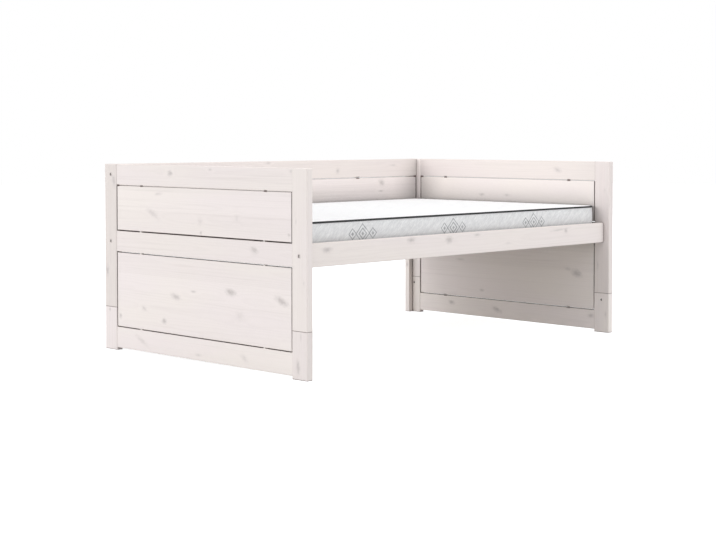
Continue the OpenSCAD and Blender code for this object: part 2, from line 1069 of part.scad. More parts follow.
module leg_dowels() {
    color(beech)
        for (end = [LEFT, RIGHT], side = [FRONT, BACK])
            at_corner(end, side)
                at_leg_dowels()
                    bar_along_z(dowel_diameter, 2 * dowel_depth);
}

module end_frame_dowels() {
    color(beech)
        for (end = [LEFT, RIGHT], rail_z = end_rail_heights)
            at_end_dowels(end, rail_z)
                bar_along_y(dowel_diameter, 2 * dowel_depth);
}

module panel_dowels() {
    end_gaps = [first_gap_middle, second_gap_middle, third_gap_middle, top_gap_middle];
    color(beech) {
        for (end = [LEFT, RIGHT], gap_middle = end_gaps)
            at_end_panel_dowels(end, gap_middle)
                panel_dowel();
        for (gap_middle = [third_gap_middle, top_gap_middle])
            at_back_panel_dowels(gap_middle)
                panel_dowel();
    }
}

module side_rail_dowels() {
    color(beech)
        for (end = [LEFT, RIGHT], side = [FRONT, BACK])
            at_bolts(end, side)
                at_side_dowels()
                    bar_along_x(side_dowel_diameter, 2 * side_dowel_depth);
}

module cleat_screws() {
    color(steel)
        for (side = [FRONT, BACK])
            at_cleat_screws(side)
                screw(cleat_screw_length);
}

module batten_screws() {
    color(steel)
        for (end = [LEFT, RIGHT])
            at_batten_screws(end)
                screw(batten_screw_length);
}

module slat_screws() {
    color(steel)
        at_slat_screws()
            screw(slat_screw_length);
}

front_left_post();
back_left_post();
front_right_post();
back_right_post();
front_left_leg();
back_left_leg();
front_right_leg();
back_right_leg();
left_end_top_rail();
left_end_middle_rail();
left_end_bottom_rail();
left_end_upper_panel();
left_end_lower_panel();
right_end_top_rail();
right_end_middle_rail();
right_end_bottom_rail();
right_end_upper_panel();
right_end_lower_panel();
front_side_rail();
back_side_rail();
back_panel();
back_top_rail();
back_left_batten();
back_right_batten();
front_cleat();
back_cleat();
for (index = [0:slat_count - 1])
    slat(index);
slat_webbing();
mattress_core();
mattress_border();
mattress_top_panel();
mattress_bottom_panel();
mattress_top_piping();
mattress_bottom_piping();
frame_bolts();
frame_barrel_nuts();
leg_studs();
leg_barrel_nuts();
leg_dowels();
end_frame_dowels();
panel_dowels();
side_rail_dowels();
cleat_screws();
batten_screws();
slat_screws();
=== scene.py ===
import math

import bpy
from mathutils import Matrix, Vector


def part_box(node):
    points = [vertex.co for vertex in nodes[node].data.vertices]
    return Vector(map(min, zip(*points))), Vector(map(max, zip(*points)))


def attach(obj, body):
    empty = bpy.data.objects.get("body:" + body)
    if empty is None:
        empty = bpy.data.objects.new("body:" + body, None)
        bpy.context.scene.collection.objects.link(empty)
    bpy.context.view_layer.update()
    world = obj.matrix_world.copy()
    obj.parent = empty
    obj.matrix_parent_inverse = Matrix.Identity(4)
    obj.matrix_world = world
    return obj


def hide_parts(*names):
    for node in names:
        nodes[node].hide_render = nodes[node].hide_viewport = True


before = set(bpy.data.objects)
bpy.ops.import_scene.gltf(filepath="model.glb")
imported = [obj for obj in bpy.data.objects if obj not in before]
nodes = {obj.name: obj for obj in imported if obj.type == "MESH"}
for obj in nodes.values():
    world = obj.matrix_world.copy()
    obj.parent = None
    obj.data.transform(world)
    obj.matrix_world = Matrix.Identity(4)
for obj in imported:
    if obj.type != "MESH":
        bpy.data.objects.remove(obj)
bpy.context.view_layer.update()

# Posts: each corner of the bed is a planed pine post, whitewashed so that grain and knots only
# show through as soft grey marks, then lacquered matt. The wash is rubbed a little thinner on
# the rounded arrises, and the end grain shows on top.


class Field:
    """A value that changes over a surface, with plain arithmetic."""

    def __init__(self, recipe, socket):
        self.recipe = recipe
        self.socket = socket

    def __add__(self, other):
        return self.recipe.work("ADD", self, other)

    def __sub__(self, other):
        return self.recipe.work("SUBTRACT", self, other)

    def __rsub__(self, other):
        return self.recipe.work("SUBTRACT", other, self)

    def __mul__(self, other):
        return self.recipe.work("MULTIPLY", self, other)

    def __truediv__(self, other):
        return self.recipe.work("DIVIDE", self, other)


class Recipe:
    """A finish that is mixed from nodes, step by step, and ends in one shader."""

    def __init__(self, name):
        self.material = bpy.data.materials.new(name)
        self.material.use_nodes = True
        self.tree = self.material.node_tree
        self.shader = self.tree.nodes["Principled BSDF"]
        self.position = self.add("ShaderNodeTexCoord").outputs["Object"]
        self.axes = self.add("ShaderNodeSeparateXYZ")
        self.feed(self.axes.inputs[0], self.position)

    def add(self, kind, **settings):
        node = self.tree.nodes.new(kind)
        for name, value in settings.items():
            setattr(node, name, value)
        return node

    def feed(self, socket, value):
        if isinstance(value, Field):
            value = value.socket
        if isinstance(value, bpy.types.NodeSocket):
            self.tree.links.new(value, socket)
        else:
            socket.default_value = value

    def work(self, operation, *terms):
        node = self.add("ShaderNodeMath", operation=operation)
        for socket, term in zip(node.inputs, terms):
            self.feed(socket, term)
        return Field(self, node.outputs[0])

    def place(self, axis):
        return Field(self, self.axes.outputs[axis])

    def constant(self, value):
        node = self.add("ShaderNodeValue")
        node.outputs[0].default_value = value
        return Field(self, node.outputs[0])

    def vector(self, x, y, z):
        node = self.add("ShaderNodeCombineXYZ")
        for socket, value in zip(node.inputs, (x, y, z)):
            self.feed(socket, value)
        return node.outputs[0]

    def noise(self, x, y, z, detail=2.0, roughness=0.5):
        node = self.add("ShaderNodeTexNoise")
        self.feed(node.inputs["Vector"], self.vector(x, y, z))
        node.inputs["Scale"].default_value = 1.0
        node.inputs["Detail"].default_value = detail
        node.inputs["Roughness"].default_value = roughness
        return Field(self, node.outputs[0])

    def cloud(self, lumps, detail=2.0):
        """Noise that is equally fine in every direction, with so many lumps to the metre."""
        return self.noise(*[self.place(axis) * lumps for axis in "XYZ"], detail=detail)

    def waves(self, value, pitch):
        """Waves from -1 to 1, one for each pitch that the value goes up by."""
        return self.work("SINE", value * (math.tau / pitch))

    def chance(self, number):
        node = self.add("ShaderNodeTexWhiteNoise", noise_dimensions="1D")
        self.feed(node.inputs["W"], number)
        return Field(self, node.outputs["Value"])

    def rise(self, value, low, high):
        node = self.add("ShaderNodeMapRange", interpolation_type="SMOOTHSTEP")
        self.feed(node.inputs["Value"], value)
        node.inputs["From Min"].default_value = low
        node.inputs["From Max"].default_value = high
        return Field(self, node.outputs[0])

    def hollow(self, reach):
        """How closed in a place is, from 0 in the open to 1 deep in a gap."""
        node = self.add("ShaderNodeAmbientOcclusion", samples=8)
        node.inputs["Distance"].default_value = reach
        return 1.0 - Field(self, node.outputs["AO"])

    def blend(self, share, first, second):
        node = self.add("ShaderNodeMix", data_type="RGBA")
        self.feed(node.inputs[0], share)
        self.feed(node.inputs[6], first)
        self.feed(node.inputs[7], second)
        return node.outputs[2]

    def finish(self, colour, roughness, height, relief):
        """Colour, roughness and a bump whose height of 1 stands that many metres proud."""
        self.feed(self.shader.inputs["Base Color"], colour)
        self.feed(self.shader.inputs["Roughness"], roughness)
        bump = self.add("ShaderNodeBump")
        bump.inputs["Distance"].default_value = relief
        self.feed(bump.inputs["Height"], height)
        self.feed(self.shader.inputs["Normal"], bump.outputs[0])
        return self.material


def paint(red, green, blue):
    """A colour given as it shows, from 0 to 255, as the light that it returns."""
    levels = [value / 255 for value in (red, green, blue)]
    light = [v / 12.92 if v <= 0.04045 else ((v + 0.055) / 1.055) ** 2.4 for v in levels]
    return (*light, 1.0)


ROSE_WASH = paint(244, 235, 233)
CREAM_WASH = paint(245, 237, 232)
WASHED_GRAIN = paint(206, 196, 192)
WASHED_KNOT = paint(221, 213, 210)
KNOT_HEART = paint(206, 198, 195)
RUBBED_WOOD = paint(236, 226, 219)
# Colours of the painted shade in the corners and of the painted shade and shadows in the gaps
PAINTED_SHADE_TONE = paint(96, 96, 97)
GAP_SHADE_TONE = paint(80, 47, 41)
AXIS = {"X": 0, "Y": 1, "Z": 2}
# Marks of the wood: how many there are to the metre, along the fibres and across them
FIBRES = (12, 850)
RIPPLES = (7, 45)
STREAKS = (1.2, 70)
BLOTCHES = (1.1, 4)
WEAR_SPOTS = (25, 25)
KNOT_RAGS = (60, 90)
RING_WIDTH = 0.0055
RING_RIPPLE = 0.003
RING_SHARE = 0.06
STREAK_SHARE = 0.26
FIBRE_SHARE = 0.10
STAVE_SHARE = 0.12
STAVE_SHIFT = 0.37
PITH_SPREAD = 0.05
PITH_WANDER = 0.02
PITH_LIFT = 0.03
PITH_DEPTH = 0.035
PITH_DEPTH_SPREAD = 0.06
RUB_WIDTH = 0.007
KNOT_SPREAD = 1.65
KNOT_PULL = 0.005
# Painted shade: how far it looks round for corners and gaps, how strongly it shows, and under what height
# the corner shade fades out
CORNER_REACH = 0.20
PAINTED_SHADE_SHARE = 0.50
FLOOR_REACH = 0.30
FLOOR_FADE = 0.22
GAP_REACH = 0.012
GAP_SHADE_SHARE = 0.9
PINE_RELIEF = 0.0003


def middle_of(board):
    low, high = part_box(board)
    return (low + high) / 2


def wood_marks(recipe, place, counts, shift=0.0, detail=2.0, roughness=0.5):
    """Noise that is drawn out along the fibres."""
    along, across, through = place
    lengthwise, crosswise = counts
    run = along * lengthwise + shift
    return recipe.noise(run, across * crosswise, through * crosswise, detail, roughness)


def latewood_rings(recipe, place, sideways, inwards, pull=0.0):
    """Share of dark latewood, from the distances to the pith of the tree that the board is cut from.

    pull is how far the rings bend round the knots."""
    radius = recipe.work("SQRT", sideways * sideways + inwards * inwards)
    ripple = wood_marks(recipe, place, RIPPLES, detail=3.0) - 0.5
    ring = recipe.work("FRACT", (radius + ripple * RING_RIPPLE + pull) / RING_WIDTH)
    return recipe.rise(ring, 0.35, 0.9) * (1.0 - recipe.rise(ring, 0.9, 1.0))


def knot_marks(recipe, along, across, knots, shift):
    """Shares of knot, of its dark heart and rim, and of the pull on the grain round it.

    Each knot is its place along and across the board, its half length and half width, its tilt
    in degrees and how strongly it shows."""
    knot, heart, pull = 0.0, 0.0, 0.0
    for place_along, place_across, half_length, half_width, tilt, strength in knots:
        run = along - place_along
        side = across - place_across
        turn = math.radians(tilt)
        lengthwise = (run * math.cos(turn) + side * math.sin(turn)) / (half_length * KNOT_SPREAD)
        sideways = (side * math.cos(turn) - run * math.sin(turn)) / (half_width * KNOT_SPREAD)
        ragged = recipe.noise(along * KNOT_RAGS[0], across * KNOT_RAGS[1], shift) - 0.5
        reach = recipe.work("SQRT", lengthwise * lengthwise + sideways * sideways) + ragged
        mark = (1.0 - recipe.rise(reach, 0.35, 1.35)) * strength
        core = (1.0 - recipe.rise(reach, 0.1, 0.7)) * strength
        knot = mark + knot
        heart = core + heart
        pull = recipe.work("EXPONENT", reach * reach * -0.35) + pull
    return knot, heart, pull


def marks(recipe, along, across, places):
    """Share of lines and spots with soft edges.

    Each is its place along and across the board, its half length and half width and how strongly
    it shows."""
    share = 0.0
    for place_along, place_across, half_length, half_width, strength in places:
        run = recipe.work("ABSOLUTE", along - place_along)
        side = recipe.work("ABSOLUTE", across - place_across)
        lengthwise = 1.0 - recipe.rise(run, half_length * 0.6, half_length * 1.4)
        sideways = 1.0 - recipe.rise(side, half_width * 0.6, half_width * 1.4)
        share = lengthwise * sideways * strength + share
    return recipe.work("MINIMUM", share, 1.0)


def paint_corner_shade(recipe, colour, share, height):
    """Paints shade into the corners, darkening them a little. Under the height this fades out."""
    clear = recipe.rise(recipe.place("Z"), height - FLOOR_FADE, height)
    corner = recipe.rise(recipe.hollow(CORNER_REACH), 0.08, 0.70)
    return recipe.blend(corner * clear * share, colour, PAINTED_SHADE_TONE)


def paint_gap_shade(recipe, colour, share):
    """Paints shade onto the faces inside the open gaps, darkening them."""
    gap_shade = recipe.rise(recipe.hollow(GAP_REACH), 0.22, 0.72)
    return recipe.blend(gap_shade * share, colour, GAP_SHADE_TONE)


def washed_pine(
    name, grain, broad, thin, seed, stave=0.0, knots=(), grey=0.0,
    painted_shade=1.0, painted_shade_height=FLOOR_REACH, gap_shade=1.0, dark=(), pale=(),
):
    """Whitewashed pine with the fibres along one axis and the broad face across another.

    Boards wider than one plank are glued from staves, each cut from its own tree. grey is how
    much darker this board is tinted than the others, lighter below 0; for some boards this is
    painted shade or painted light. The corner and gap shares scale the shade painted into its
    corners, above the height given, and into the gaps beside it. dark marks painted shadows at
    its seams, holes and gaps, and pale marks where no gap shade is painted."""
    recipe = Recipe(name)
    place = [recipe.place(axis) for axis in (grain, broad, thin)]
    along, across, through = place
    low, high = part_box(name)
    half = (high - low) / 2
    broad_middle = middle_of(name)[AXIS[broad]]
    thin_middle = middle_of(name)[AXIS[thin]]
    # The factors of the seed only serve to draw other random numbers for each board and stave
    if stave:
        number = recipe.work("FLOOR", across / stave + seed * STAVE_SHIFT)
        centre = (number + (0.5 - seed * STAVE_SHIFT)) * stave
        chance = recipe.chance(number + seed * 13.1)
        depth_chance = recipe.chance(number + seed * 7.7)
    else:
        number = recipe.constant(seed)
        centre = broad_middle
        chance = recipe.chance(number * 3.3)
        depth_chance = recipe.chance(number * 5.9)
    pith = (chance - 0.5) * PITH_SPREAD + centre
    depth = depth_chance * PITH_DEPTH_SPREAD + PITH_DEPTH
    wander = recipe.noise(along * 1.3, number * 5.0, seed) - 0.5
    lift = recipe.noise(along * 0.9, number * 5.0, seed + 9.0) - 0.5
    knot, heart, pull = knot_marks(recipe, along, across, knots, seed)
    sideways = across - pith + wander * PITH_WANDER
    inwards = through - thin_middle + depth + lift * PITH_LIFT
    latewood = latewood_rings(recipe, place, sideways, inwards, pull * KNOT_PULL)
    streak = wood_marks(recipe, place, STREAKS, shift=seed, detail=4.0, roughness=0.65)
    fibre = wood_marks(recipe, place, FIBRES, detail=1.0)
    blotch = wood_marks(recipe, place, BLOTCHES, shift=seed)
    wash = recipe.blend(recipe.rise(blotch, 0.35, 0.65), ROSE_WASH, CREAM_WASH)
    grain_share = latewood * RING_SHARE + recipe.rise(streak, 0.50, 0.85) * STREAK_SHARE
    grain_share = grain_share + fibre * FIBRE_SHARE + (chance - 0.5) * STAVE_SHARE + grey
    wash = recipe.blend(recipe.work("MAXIMUM", grain_share, 0.0), wash, WASHED_GRAIN)
    edge_across = half[AXIS[broad]] - recipe.work("ABSOLUTE", across - broad_middle)
    edge_through = half[AXIS[thin]] - recipe.work("ABSOLUTE", through - thin_middle)
    wear = wood_marks(recipe, place, WEAR_SPOTS, detail=3.0)
    rub = (1.0 - recipe.rise(edge_across + edge_through, 0.001, RUB_WIDTH)) * wear
    wash = recipe.blend(rub * 0.5, wash, RUBBED_WOOD)
    if knots:
        wash = recipe.blend(recipe.work("MINIMUM", knot, 1.0), wash, WASHED_KNOT)
        wash = recipe.blend(recipe.work("MINIMUM", heart, 1.0), wash, KNOT_HEART)
    # Painted shade: the corners are darkened where shade would fall
    wash = paint_corner_shade(recipe, wash, PAINTED_SHADE_SHARE * painted_shade, painted_shade_height)
    # Painted shade on the faces inside the gaps, left out under the pale marks
    covered = 1.0 - marks(recipe, along, across, pale) if pale else 1.0
    wash = paint_gap_shade(recipe, wash, covered * (GAP_SHADE_SHARE * gap_shade))
    # Painted shadows along the seams, round the bolt holes and in the gaps
    if dark:
        wash = recipe.blend(marks(recipe, along, across, dark) * covered, wash, GAP_SHADE_TONE)
    height = latewood * 0.4 + fibre * 0.6
    recipe.shader.inputs["Specular IOR Level"].default_value = 0.25
    return recipe.finish(wash, fibre * 0.12 + 0.54, height, PINE_RELIEF)


def coat(name, material):
    """Gives a carried-over piece its finish."""
    piece = nodes[name]
    for part in piece.material_slots:
        part.material = material


POST_KNOTS = {
    "front_left_post": [(0.629, -0.604, 0.011, 0.004, 0, 0.25), (0.385, -0.650, 0.012, 0.005, 10, 0.2)],
    "back_left_post": [(0.768, 0.600, 0.022, 0.010, 15, 0.9), (0.358, 0.650, 0.018, 0.010, 0, 1.0)],
    "front_right_post": [(0.330, -0.600, 0.012, 0.006, 0, 0.3), (0.700, -0.640, 0.010, 0.006, 0, 0.3)],
    "back_right_post": [(0.610, 0.640, 0.012, 0.006, 0, 0.4), (0.300, 0.610, 0.010, 0.006, 0, 0.3)],
}
# How much darker than the others some posts are tinted; the lighter tint of back_right_post is painted
# light
POST_GREY = {"back_left_post": 0.32, "front_right_post": 0.15, "back_right_post": -0.3}
# How much shade is painted into the corners of some posts, from what height up, and into the gaps beside
# them
POST_PAINTED_SHADE = {"front_right_post": 0.45, "back_right_post": 0.55}
POST_PAINTED_SHADE_HEIGHT = {"back_right_post": 0.60}
POST_GAP_SHADE = {"front_right_post": 1.0, "back_right_post": 1.0}
POST_GAP_SHADE_REST = 0.35
# Half length, half width and strength of a painted shadow mark
SEAM_SHADE = (0.0013, 0.06, 0.5)
BOLT_SHADE = (0.0085, 0.0085, 0.22)
# A painted shadow line along the seam of each post and its leg, and painted shade round the bolt holes
seam_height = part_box("front_left_leg")[1].z
leg_seam = [
    (seam_height, middle_of(post).y, *SEAM_SHADE) for post in ("front_left_post", "back_left_post")
]
bolt_shades = [
    (middle_of(rail).z, middle_of(rail).y, *BOLT_SHADE)
    for rail in ("front_side_rail", "back_side_rail", "back_top_rail")
]
for seed, (post, knots) in enumerate(POST_KNOTS.items(), start=1):
    post_pine = washed_pine(
        post, "Z", "Y", "X", seed, knots=knots, grey=POST_GREY.get(post, 0.0),
        painted_shade=POST_PAINTED_SHADE.get(post, 1.0), painted_shade_height=POST_PAINTED_SHADE_HEIGHT.get(post, FLOOR_REACH),
        gap_shade=POST_GAP_SHADE.get(post, POST_GAP_SHADE_REST), dark=leg_seam + bolt_shades,
    )
    coat(post, post_pine)

# Legs: each post stands on a leg of the same section. It is cut from another length of pine, so
# grain and tone change at the seam, and a stud and two dowels inside hold it to the post.

LEG_KNOTS = {
    "front_left_leg": [(0.051, -0.616, 0.020, 0.008, 4, 0.8), (0.172, -0.632, 0.014, 0.004, 0, 0.3)],
    "back_left_leg": [(0.180, 0.633, 0.006, 0.005, 0, 0.6)],
    "front_right_leg": [(0.090, -0.650, 0.010, 0.005, 0, 0.3)],
    "back_right_leg": [(0.120, 0.640, 0.012, 0.006, 0, 0.4)],
}
# How much darker than the others some legs are tinted; the lighter tint of back_right_leg is painted light
LEG_GREY = {"back_right_leg": -0.3, "front_left_leg": 0.05}
# No shade is painted into the corners of the back right leg
LEG_PAINTED_SHADE = {"back_right_leg": 0.0}
for seed, (leg, knots) in enumerate(LEG_KNOTS.items(), start=11):
    leg_pine = washed_pine(
        leg, "Z", "Y", "X", seed, knots=knots, grey=LEG_GREY.get(leg, 0.0),
        painted_shade=LEG_PAINTED_SHADE.get(leg, 1.0), dark=leg_seam,
    )
    coat(leg, leg_pine)

# End rails: three pine planks join the posts of each end. Knots go through a plank, so they show
# on both of its faces. Painted shadows mark some of the gaps at the holes for the panel dowels,
# and no gap shade is painted beside the wash runs of the left end, nor at the front ends of the panels.

END_RAIL_KNOTS = {
    "left_end_top_rail": [
        (0.194, 0.806, 0.012, 0.009, 0, 0.9),
        (-0.075, 0.826, 0.008, 0.004, 0, 0.5),
        (-0.575, 0.828, 0.008, 0.006, 0, 0.4),
    ],
    "left_end_middle_rail": [(-0.353, 0.503, 0.017, 0.010, 15, 0.7)],
    "left_end_bottom_rail": [
        (0.400, 0.060, 0.036, 0.008, 25, 0.3),
        (0.007, 0.036, 0.014, 0.005, 0, 0.4),
        (-0.290, 0.053, 0.018, 0.009, 30, 0.3),
    ],
    "right_end_top_rail": [(-0.351, 0.795, 0.018, 0.009, 18, 0.7)],
    "right_end_middle_rail": [(0.250, 0.480, 0.012, 0.008, 0, 0.5)],
    "right_end_bottom_rail": [
        (0.352, 0.072, 0.016, 0.008, 8, 0.8),
        (0.040, 0.058, 0.021, 0.009, 20, 0.8),
        (-0.560, 0.076, 0.014, 0.008, 0, 0.6),
    ],
}
# How much darker than the others some boards of the ends are tinted: the darker right_end_top_rail and
# right_end_lower_panel are painted shade, the lighter left_end_bottom_rail is painted light
END_GREY = {
    "left_end_middle_rail": 0.08,
    "left_end_bottom_rail": -0.08,
    "right_end_top_rail": 0.14,
    "right_end_upper_panel": -0.12,
    "right_end_lower_panel": 0.06,
}
DOWEL_INSET = 0.166
# Half length, half width and strength of the painted shadow marks in the gaps, and of the pale marks where
# no gap shade is painted
CORNER_SHADE = (0.009, 0.0040, 0.9)
LONG_SHADE = (0.6, 0.0030, 0.9)
LEFT_HOLE_SHADE = (0.009, 0.0036, 1.0)
RIGHT_HOLE_SHADE = (0.010, 0.0045, 1.0)
LOW_HOLE_SHADE = (0.009, 0.0050, 0.8)
RUN_PALE = (0.008, 0.006, 1.0)
FRONT_PALE = 0.006
CORNER_SHADE_SHIFT = 0.006
HOLE_SHADE_SHIFT = 0.012


def gap_height(under, over):
    """Height of the middle of the gap between two boards."""
    return (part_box(under)[1].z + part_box(over)[0].z) / 2


bottom_gap = gap_height("left_end_bottom_rail", "left_end_lower_panel")
second_gap = gap_height("left_end_lower_panel", "left_end_middle_rail")
third_gap = gap_height("left_end_middle_rail", "left_end_upper_panel")
top_gap = gap_height("left_end_upper_panel", "left_end_top_rail")
panel_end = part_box("left_end_upper_panel")[1].y
dowel_places = [panel_end - DOWEL_INSET, DOWEL_INSET - panel_end]
end_shades = [
    (panel_end - CORNER_SHADE_SHIFT, top_gap, *CORNER_SHADE),
    (0.0, third_gap, *LONG_SHADE),
]
# No gap shade is painted in the gap at the front ends of the panels, so it stays light
front_unshaded_gap = (-panel_end, top_gap / 2, FRONT_PALE, top_gap / 2, 1.0)
end_painted_shadows = {"left": list(end_shades), "right": list(end_shades)}
end_pale = {"left": [front_unshaded_gap], "right": [front_unshaded_gap]}
for place in dowel_places:
    shade = place - HOLE_SHADE_SHIFT
    end_painted_shadows["left"].append((shade, top_gap, *LEFT_HOLE_SHADE))
    end_painted_shadows["right"].append((shade, top_gap, *RIGHT_HOLE_SHADE))
    end_painted_shadows["right"].append((shade, bottom_gap, *LOW_HOLE_SHADE))
    for height in (bottom_gap, second_gap, third_gap):
        end_pale["left"].append((place, height, *RUN_PALE))
for seed, (rail, knots) in enumerate(END_RAIL_KNOTS.items(), start=21):
    end = rail.split("_")[0]
    rail_pine = washed_pine(
        rail, "Y", "Z", "X", seed, knots=knots, grey=END_GREY.get(rail, 0.0),
        dark=end_painted_shadows[end], pale=end_pale[end],
    )
    coat(rail, rail_pine)

# End panels: wide boards, glued from staves of pine, that stand in the frames on dowels with an
# open gap all round, so that they can swell and shrink.

PANEL_STAVE = 0.085
END_PANEL_KNOTS = {
    "left_end_upper_panel": [
        (0.277, 0.715, 0.018, 0.005, -5, 0.4),
        (0.318, 0.628, 0.036, 0.010, 26, 0.4),
        (-0.008, 0.605, 0.012, 0.012, 0, 0.25),
        (-0.013, 0.556, 0.006, 0.007, 0, 0.6),
        (-0.245, 0.628, 0.010, 0.014, 0, 0.2),
        (-0.562, 0.574, 0.007, 0.005, 0, 0.5),
    ],
    "left_end_lower_panel": [
        (0.158, 0.273, 0.024, 0.009, 9, 0.7),
        (0.039, 0.304, 0.012, 0.004, 0, 0.6),
        (-0.206, 0.319, 0.022, 0.010, 8, 1.0),
        (-0.519, 0.305, 0.027, 0.010, 20, 0.9),
        (0.381, 0.205, 0.014, 0.008, 20, 0.35),
        (0.554, 0.157, 0.008, 0.009, 0, 0.6),
        (0.239, 0.160, 0.011, 0.009, 0, 0.9),
        (-0.264, 0.223, 0.022, 0.016, 0, 0.2),
    ],
    "right_end_upper_panel": [
        (0.144, 0.659, 0.012, 0.006, 0, 0.6),
        (-0.024, 0.660, 0.018, 0.005, 0, 0.4),
    ],
    "right_end_lower_panel": [
        (-0.473, 0.281, 0.021, 0.013, 12, 1.0),
        (-0.420, 0.300, 0.018, 0.007, 14, 0.35),
        (0.142, 0.152, 0.010, 0.006, 0, 0.7),
        (0.294, 0.307, 0.020, 0.006, 0, 0.4),
    ],
}
for seed, (panel, knots) in enumerate(END_PANEL_KNOTS.items(), start=31):
    end = panel.split("_")[0]
    panel_pine = washed_pine(
        panel, "Y", "Z", "X", seed, stave=PANEL_STAVE, knots=knots, grey=END_GREY.get(panel, 0.0),
        dark=end_painted_shadows[end], pale=end_pale[end],
    )
    coat(panel, panel_pine)

# Side rails and back: the front and back side rails carry the slats, and the back goes on up with
# a panel of staves and a top rail. All four boards run the length of the bed between the posts.

LONG_BOARD_KNOTS = {
    "front_side_rail": [
        (-0.893, 0.511, 0.018, 0.008, 0, 0.9),
        (-0.394, 0.525, 0.018, 0.009, 0, 0.8),
        (-0.149, 0.514, 0.018, 0.011, 0, 0.8),
        (0.040, 0.527, 0.016, 0.005, 0, 0.5),
        (0.260, 0.478, 0.018, 0.006, 0, 0.2),
        (0.640, 0.522, 0.050, 0.004, 4, 0.4),
        (0.696, 0.515, 0.010, 0.008, 0, 0.7),
    ],
    "back_side_rail": [(-0.520, 0.480, 0.018, 0.010, 0, 0.6), (0.430, 0.510, 0.016, 0.008, 20, 0.5)],
    "back_top_rail": [
        (0.397, 0.785, 0.011, 0.011, 0, 0.7),
        (0.815, 0.808, 0.020, 0.005, 0, 0.4),
        (-0.090, 0.832, 0.012, 0.007, 0, 0.5),
        (-0.640, 0.790, 0.016, 0.009, 10, 0.5),
    ],
}
LONG_BOARD_GREY = {"back_top_rail": 0.15}
BACK_DOWEL_PLACE = 0.545
BACK_GAP_SHADE = (1.1, 0.0020, 0.3)
BACK_CORNER_SHADE = (0.010, 0.0040, 0.9)
BACK_HOLE_SHADE = (0.012, 0.0052, 1.0)
# Painted shadows along the top gap of the back, near its right end and at the dowel holes
back_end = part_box("back_panel")[1].x
back_painted_shadows = [
    (0.0, top_gap, *BACK_GAP_SHADE),
    (back_end - CORNER_SHADE_SHIFT, top_gap, *BACK_CORNER_SHADE),
]
for place in (-BACK_DOWEL_PLACE, 0.0, BACK_DOWEL_PLACE):
    back_painted_shadows.append((place, top_gap, *BACK_HOLE_SHADE))
for seed, (board, knots) in enumerate(LONG_BOARD_KNOTS.items(), start=41):
    board_pine = washed_pine(
        board, "X", "Z", "Y", seed, knots=knots, grey=LONG_BOARD_GREY.get(board, 0.0), dark=back_painted_shadows
    )
    coat(board, board_pine)
BACK_PANEL_KNOTS = [
    (0.727, 0.716, 0.016, 0.012, -20, 0.8),
    (0.722, 0.672, 0.014, 0.004, 0, 0.6),
    (-0.210, 0.640, 0.018, 0.010, 20, 0.6),
    (-0.700, 0.690, 0.020, 0.009, 35, 0.5),
    (0.240, 0.600, 0.014, 0.009, 0, 0.5),
]
back_panel_pine = washed_pine(
    "back_panel", "X", "Z", "Y", 45, stave=PANEL_STAVE, knots=BACK_PANEL_KNOTS, dark=back_painted_shadows
)
coat("back_panel", back_panel_pine)

# Battens: an upright strip of pine fills the corner behind the back, on each side. It is screwed
# to the post and glued to the leg.

BATTEN_KNOTS = {
    "back_left_batten": [(0.450, 0.650, 0.010, 0.006, 0, 0.5)],
    "back_right_batten": [(0.260, 0.652, 0.012, 0.006, 0, 0.5)],
}
for seed, (batten, knots) in enumerate(BATTEN_KNOTS.items(), start=51):
    coat(batten, washed_pine(batten, "Z", "Y", "X", seed, knots=knots))

# Slatted base: planed pine without any wash. Cleats are screwed inside the side rails, the slats
# lie on them, and only the first and last slats are fixed.

BARE_EARLYWOOD = paint(240, 228, 207)
BARE_LATEWOOD = paint(214, 188, 152)
BARE_STREAKS = (2.0, 60)
BARE_WANDER = 0.04
BARE_LIFT = 0.06
BARE_DEPTH = 0.05
BARE_RELIEF = 0.0004
SLATS = 15
CLEAT_SEED = 58
SLAT_SEED = 61


def bare_pine(name, grain, broad, thin, seed):
    """Planed, untreated pine."""
    recipe = Recipe(name)
    place = [recipe.place(axis) for axis in (grain, broad, thin)]
    along, across, through = place
    middle = middle_of(name)
    wander = recipe.noise(along * 1.6, seed * 3.1, 0.0) - 0.5
    lift = recipe.noise(along * 1.1, seed * 3.1, 8.0) - 0.5
    sideways = across - middle[AXIS[broad]] + wander * BARE_WANDER
    inwards = through - middle[AXIS[thin]] + BARE_DEPTH + lift * BARE_LIFT
    latewood = latewood_rings(recipe, place, sideways, inwards)
    fibre = wood_marks(recipe, place, FIBRES, detail=1.0)
    streak = wood_marks(recipe, place, BARE_STREAKS, shift=seed, detail=3.0)
    share = latewood * 0.45 + recipe.rise(streak, 0.5, 0.85) * 0.35 + fibre * 0.12
    wood = recipe.blend(share, BARE_EARLYWOOD, BARE_LATEWOOD)
    return recipe.finish(wood, fibre * 0.15 + 0.55, latewood * 0.4 + fibre * 0.6, BARE_RELIEF)


for seed, cleat in enumerate(("front_cleat", "back_cleat"), start=CLEAT_SEED):
    coat(cleat, bare_pine(cleat, "X", "Z", "Y", seed))
for number in range(SLATS):
    slat = f"slat_{number + 1:02d}"
    coat(slat, bare_pine(slat, "Y", "X", "Z", SLAT_SEED + number))

# Straps: two polyester straps are stapled under the slats and keep them at their spacing.

STRAP_LIGHT = paint(226, 224, 217)
STRAP_SHADE = paint(188, 185, 176)
STRAP_PICK = 0.0018
STRAP_RELIEF = 0.0004
strap = Recipe("woven_strap")
warp = strap.waves(strap.place("Y"), STRAP_PICK)
weft = strap.waves(strap.place("X"), STRAP_PICK)
weave = warp * weft * 0.5 + 0.5
strap_colour = strap.blend(weave, STRAP_SHADE, STRAP_LIGHT)
coat("slat_webbing", strap.finish(strap_colour, 0.8, weave, STRAP_RELIEF))

# Dowels: fluted beech, glued into the rails, posts, legs and panels. Those that cross the open
# gaps round the panels are washed with them.

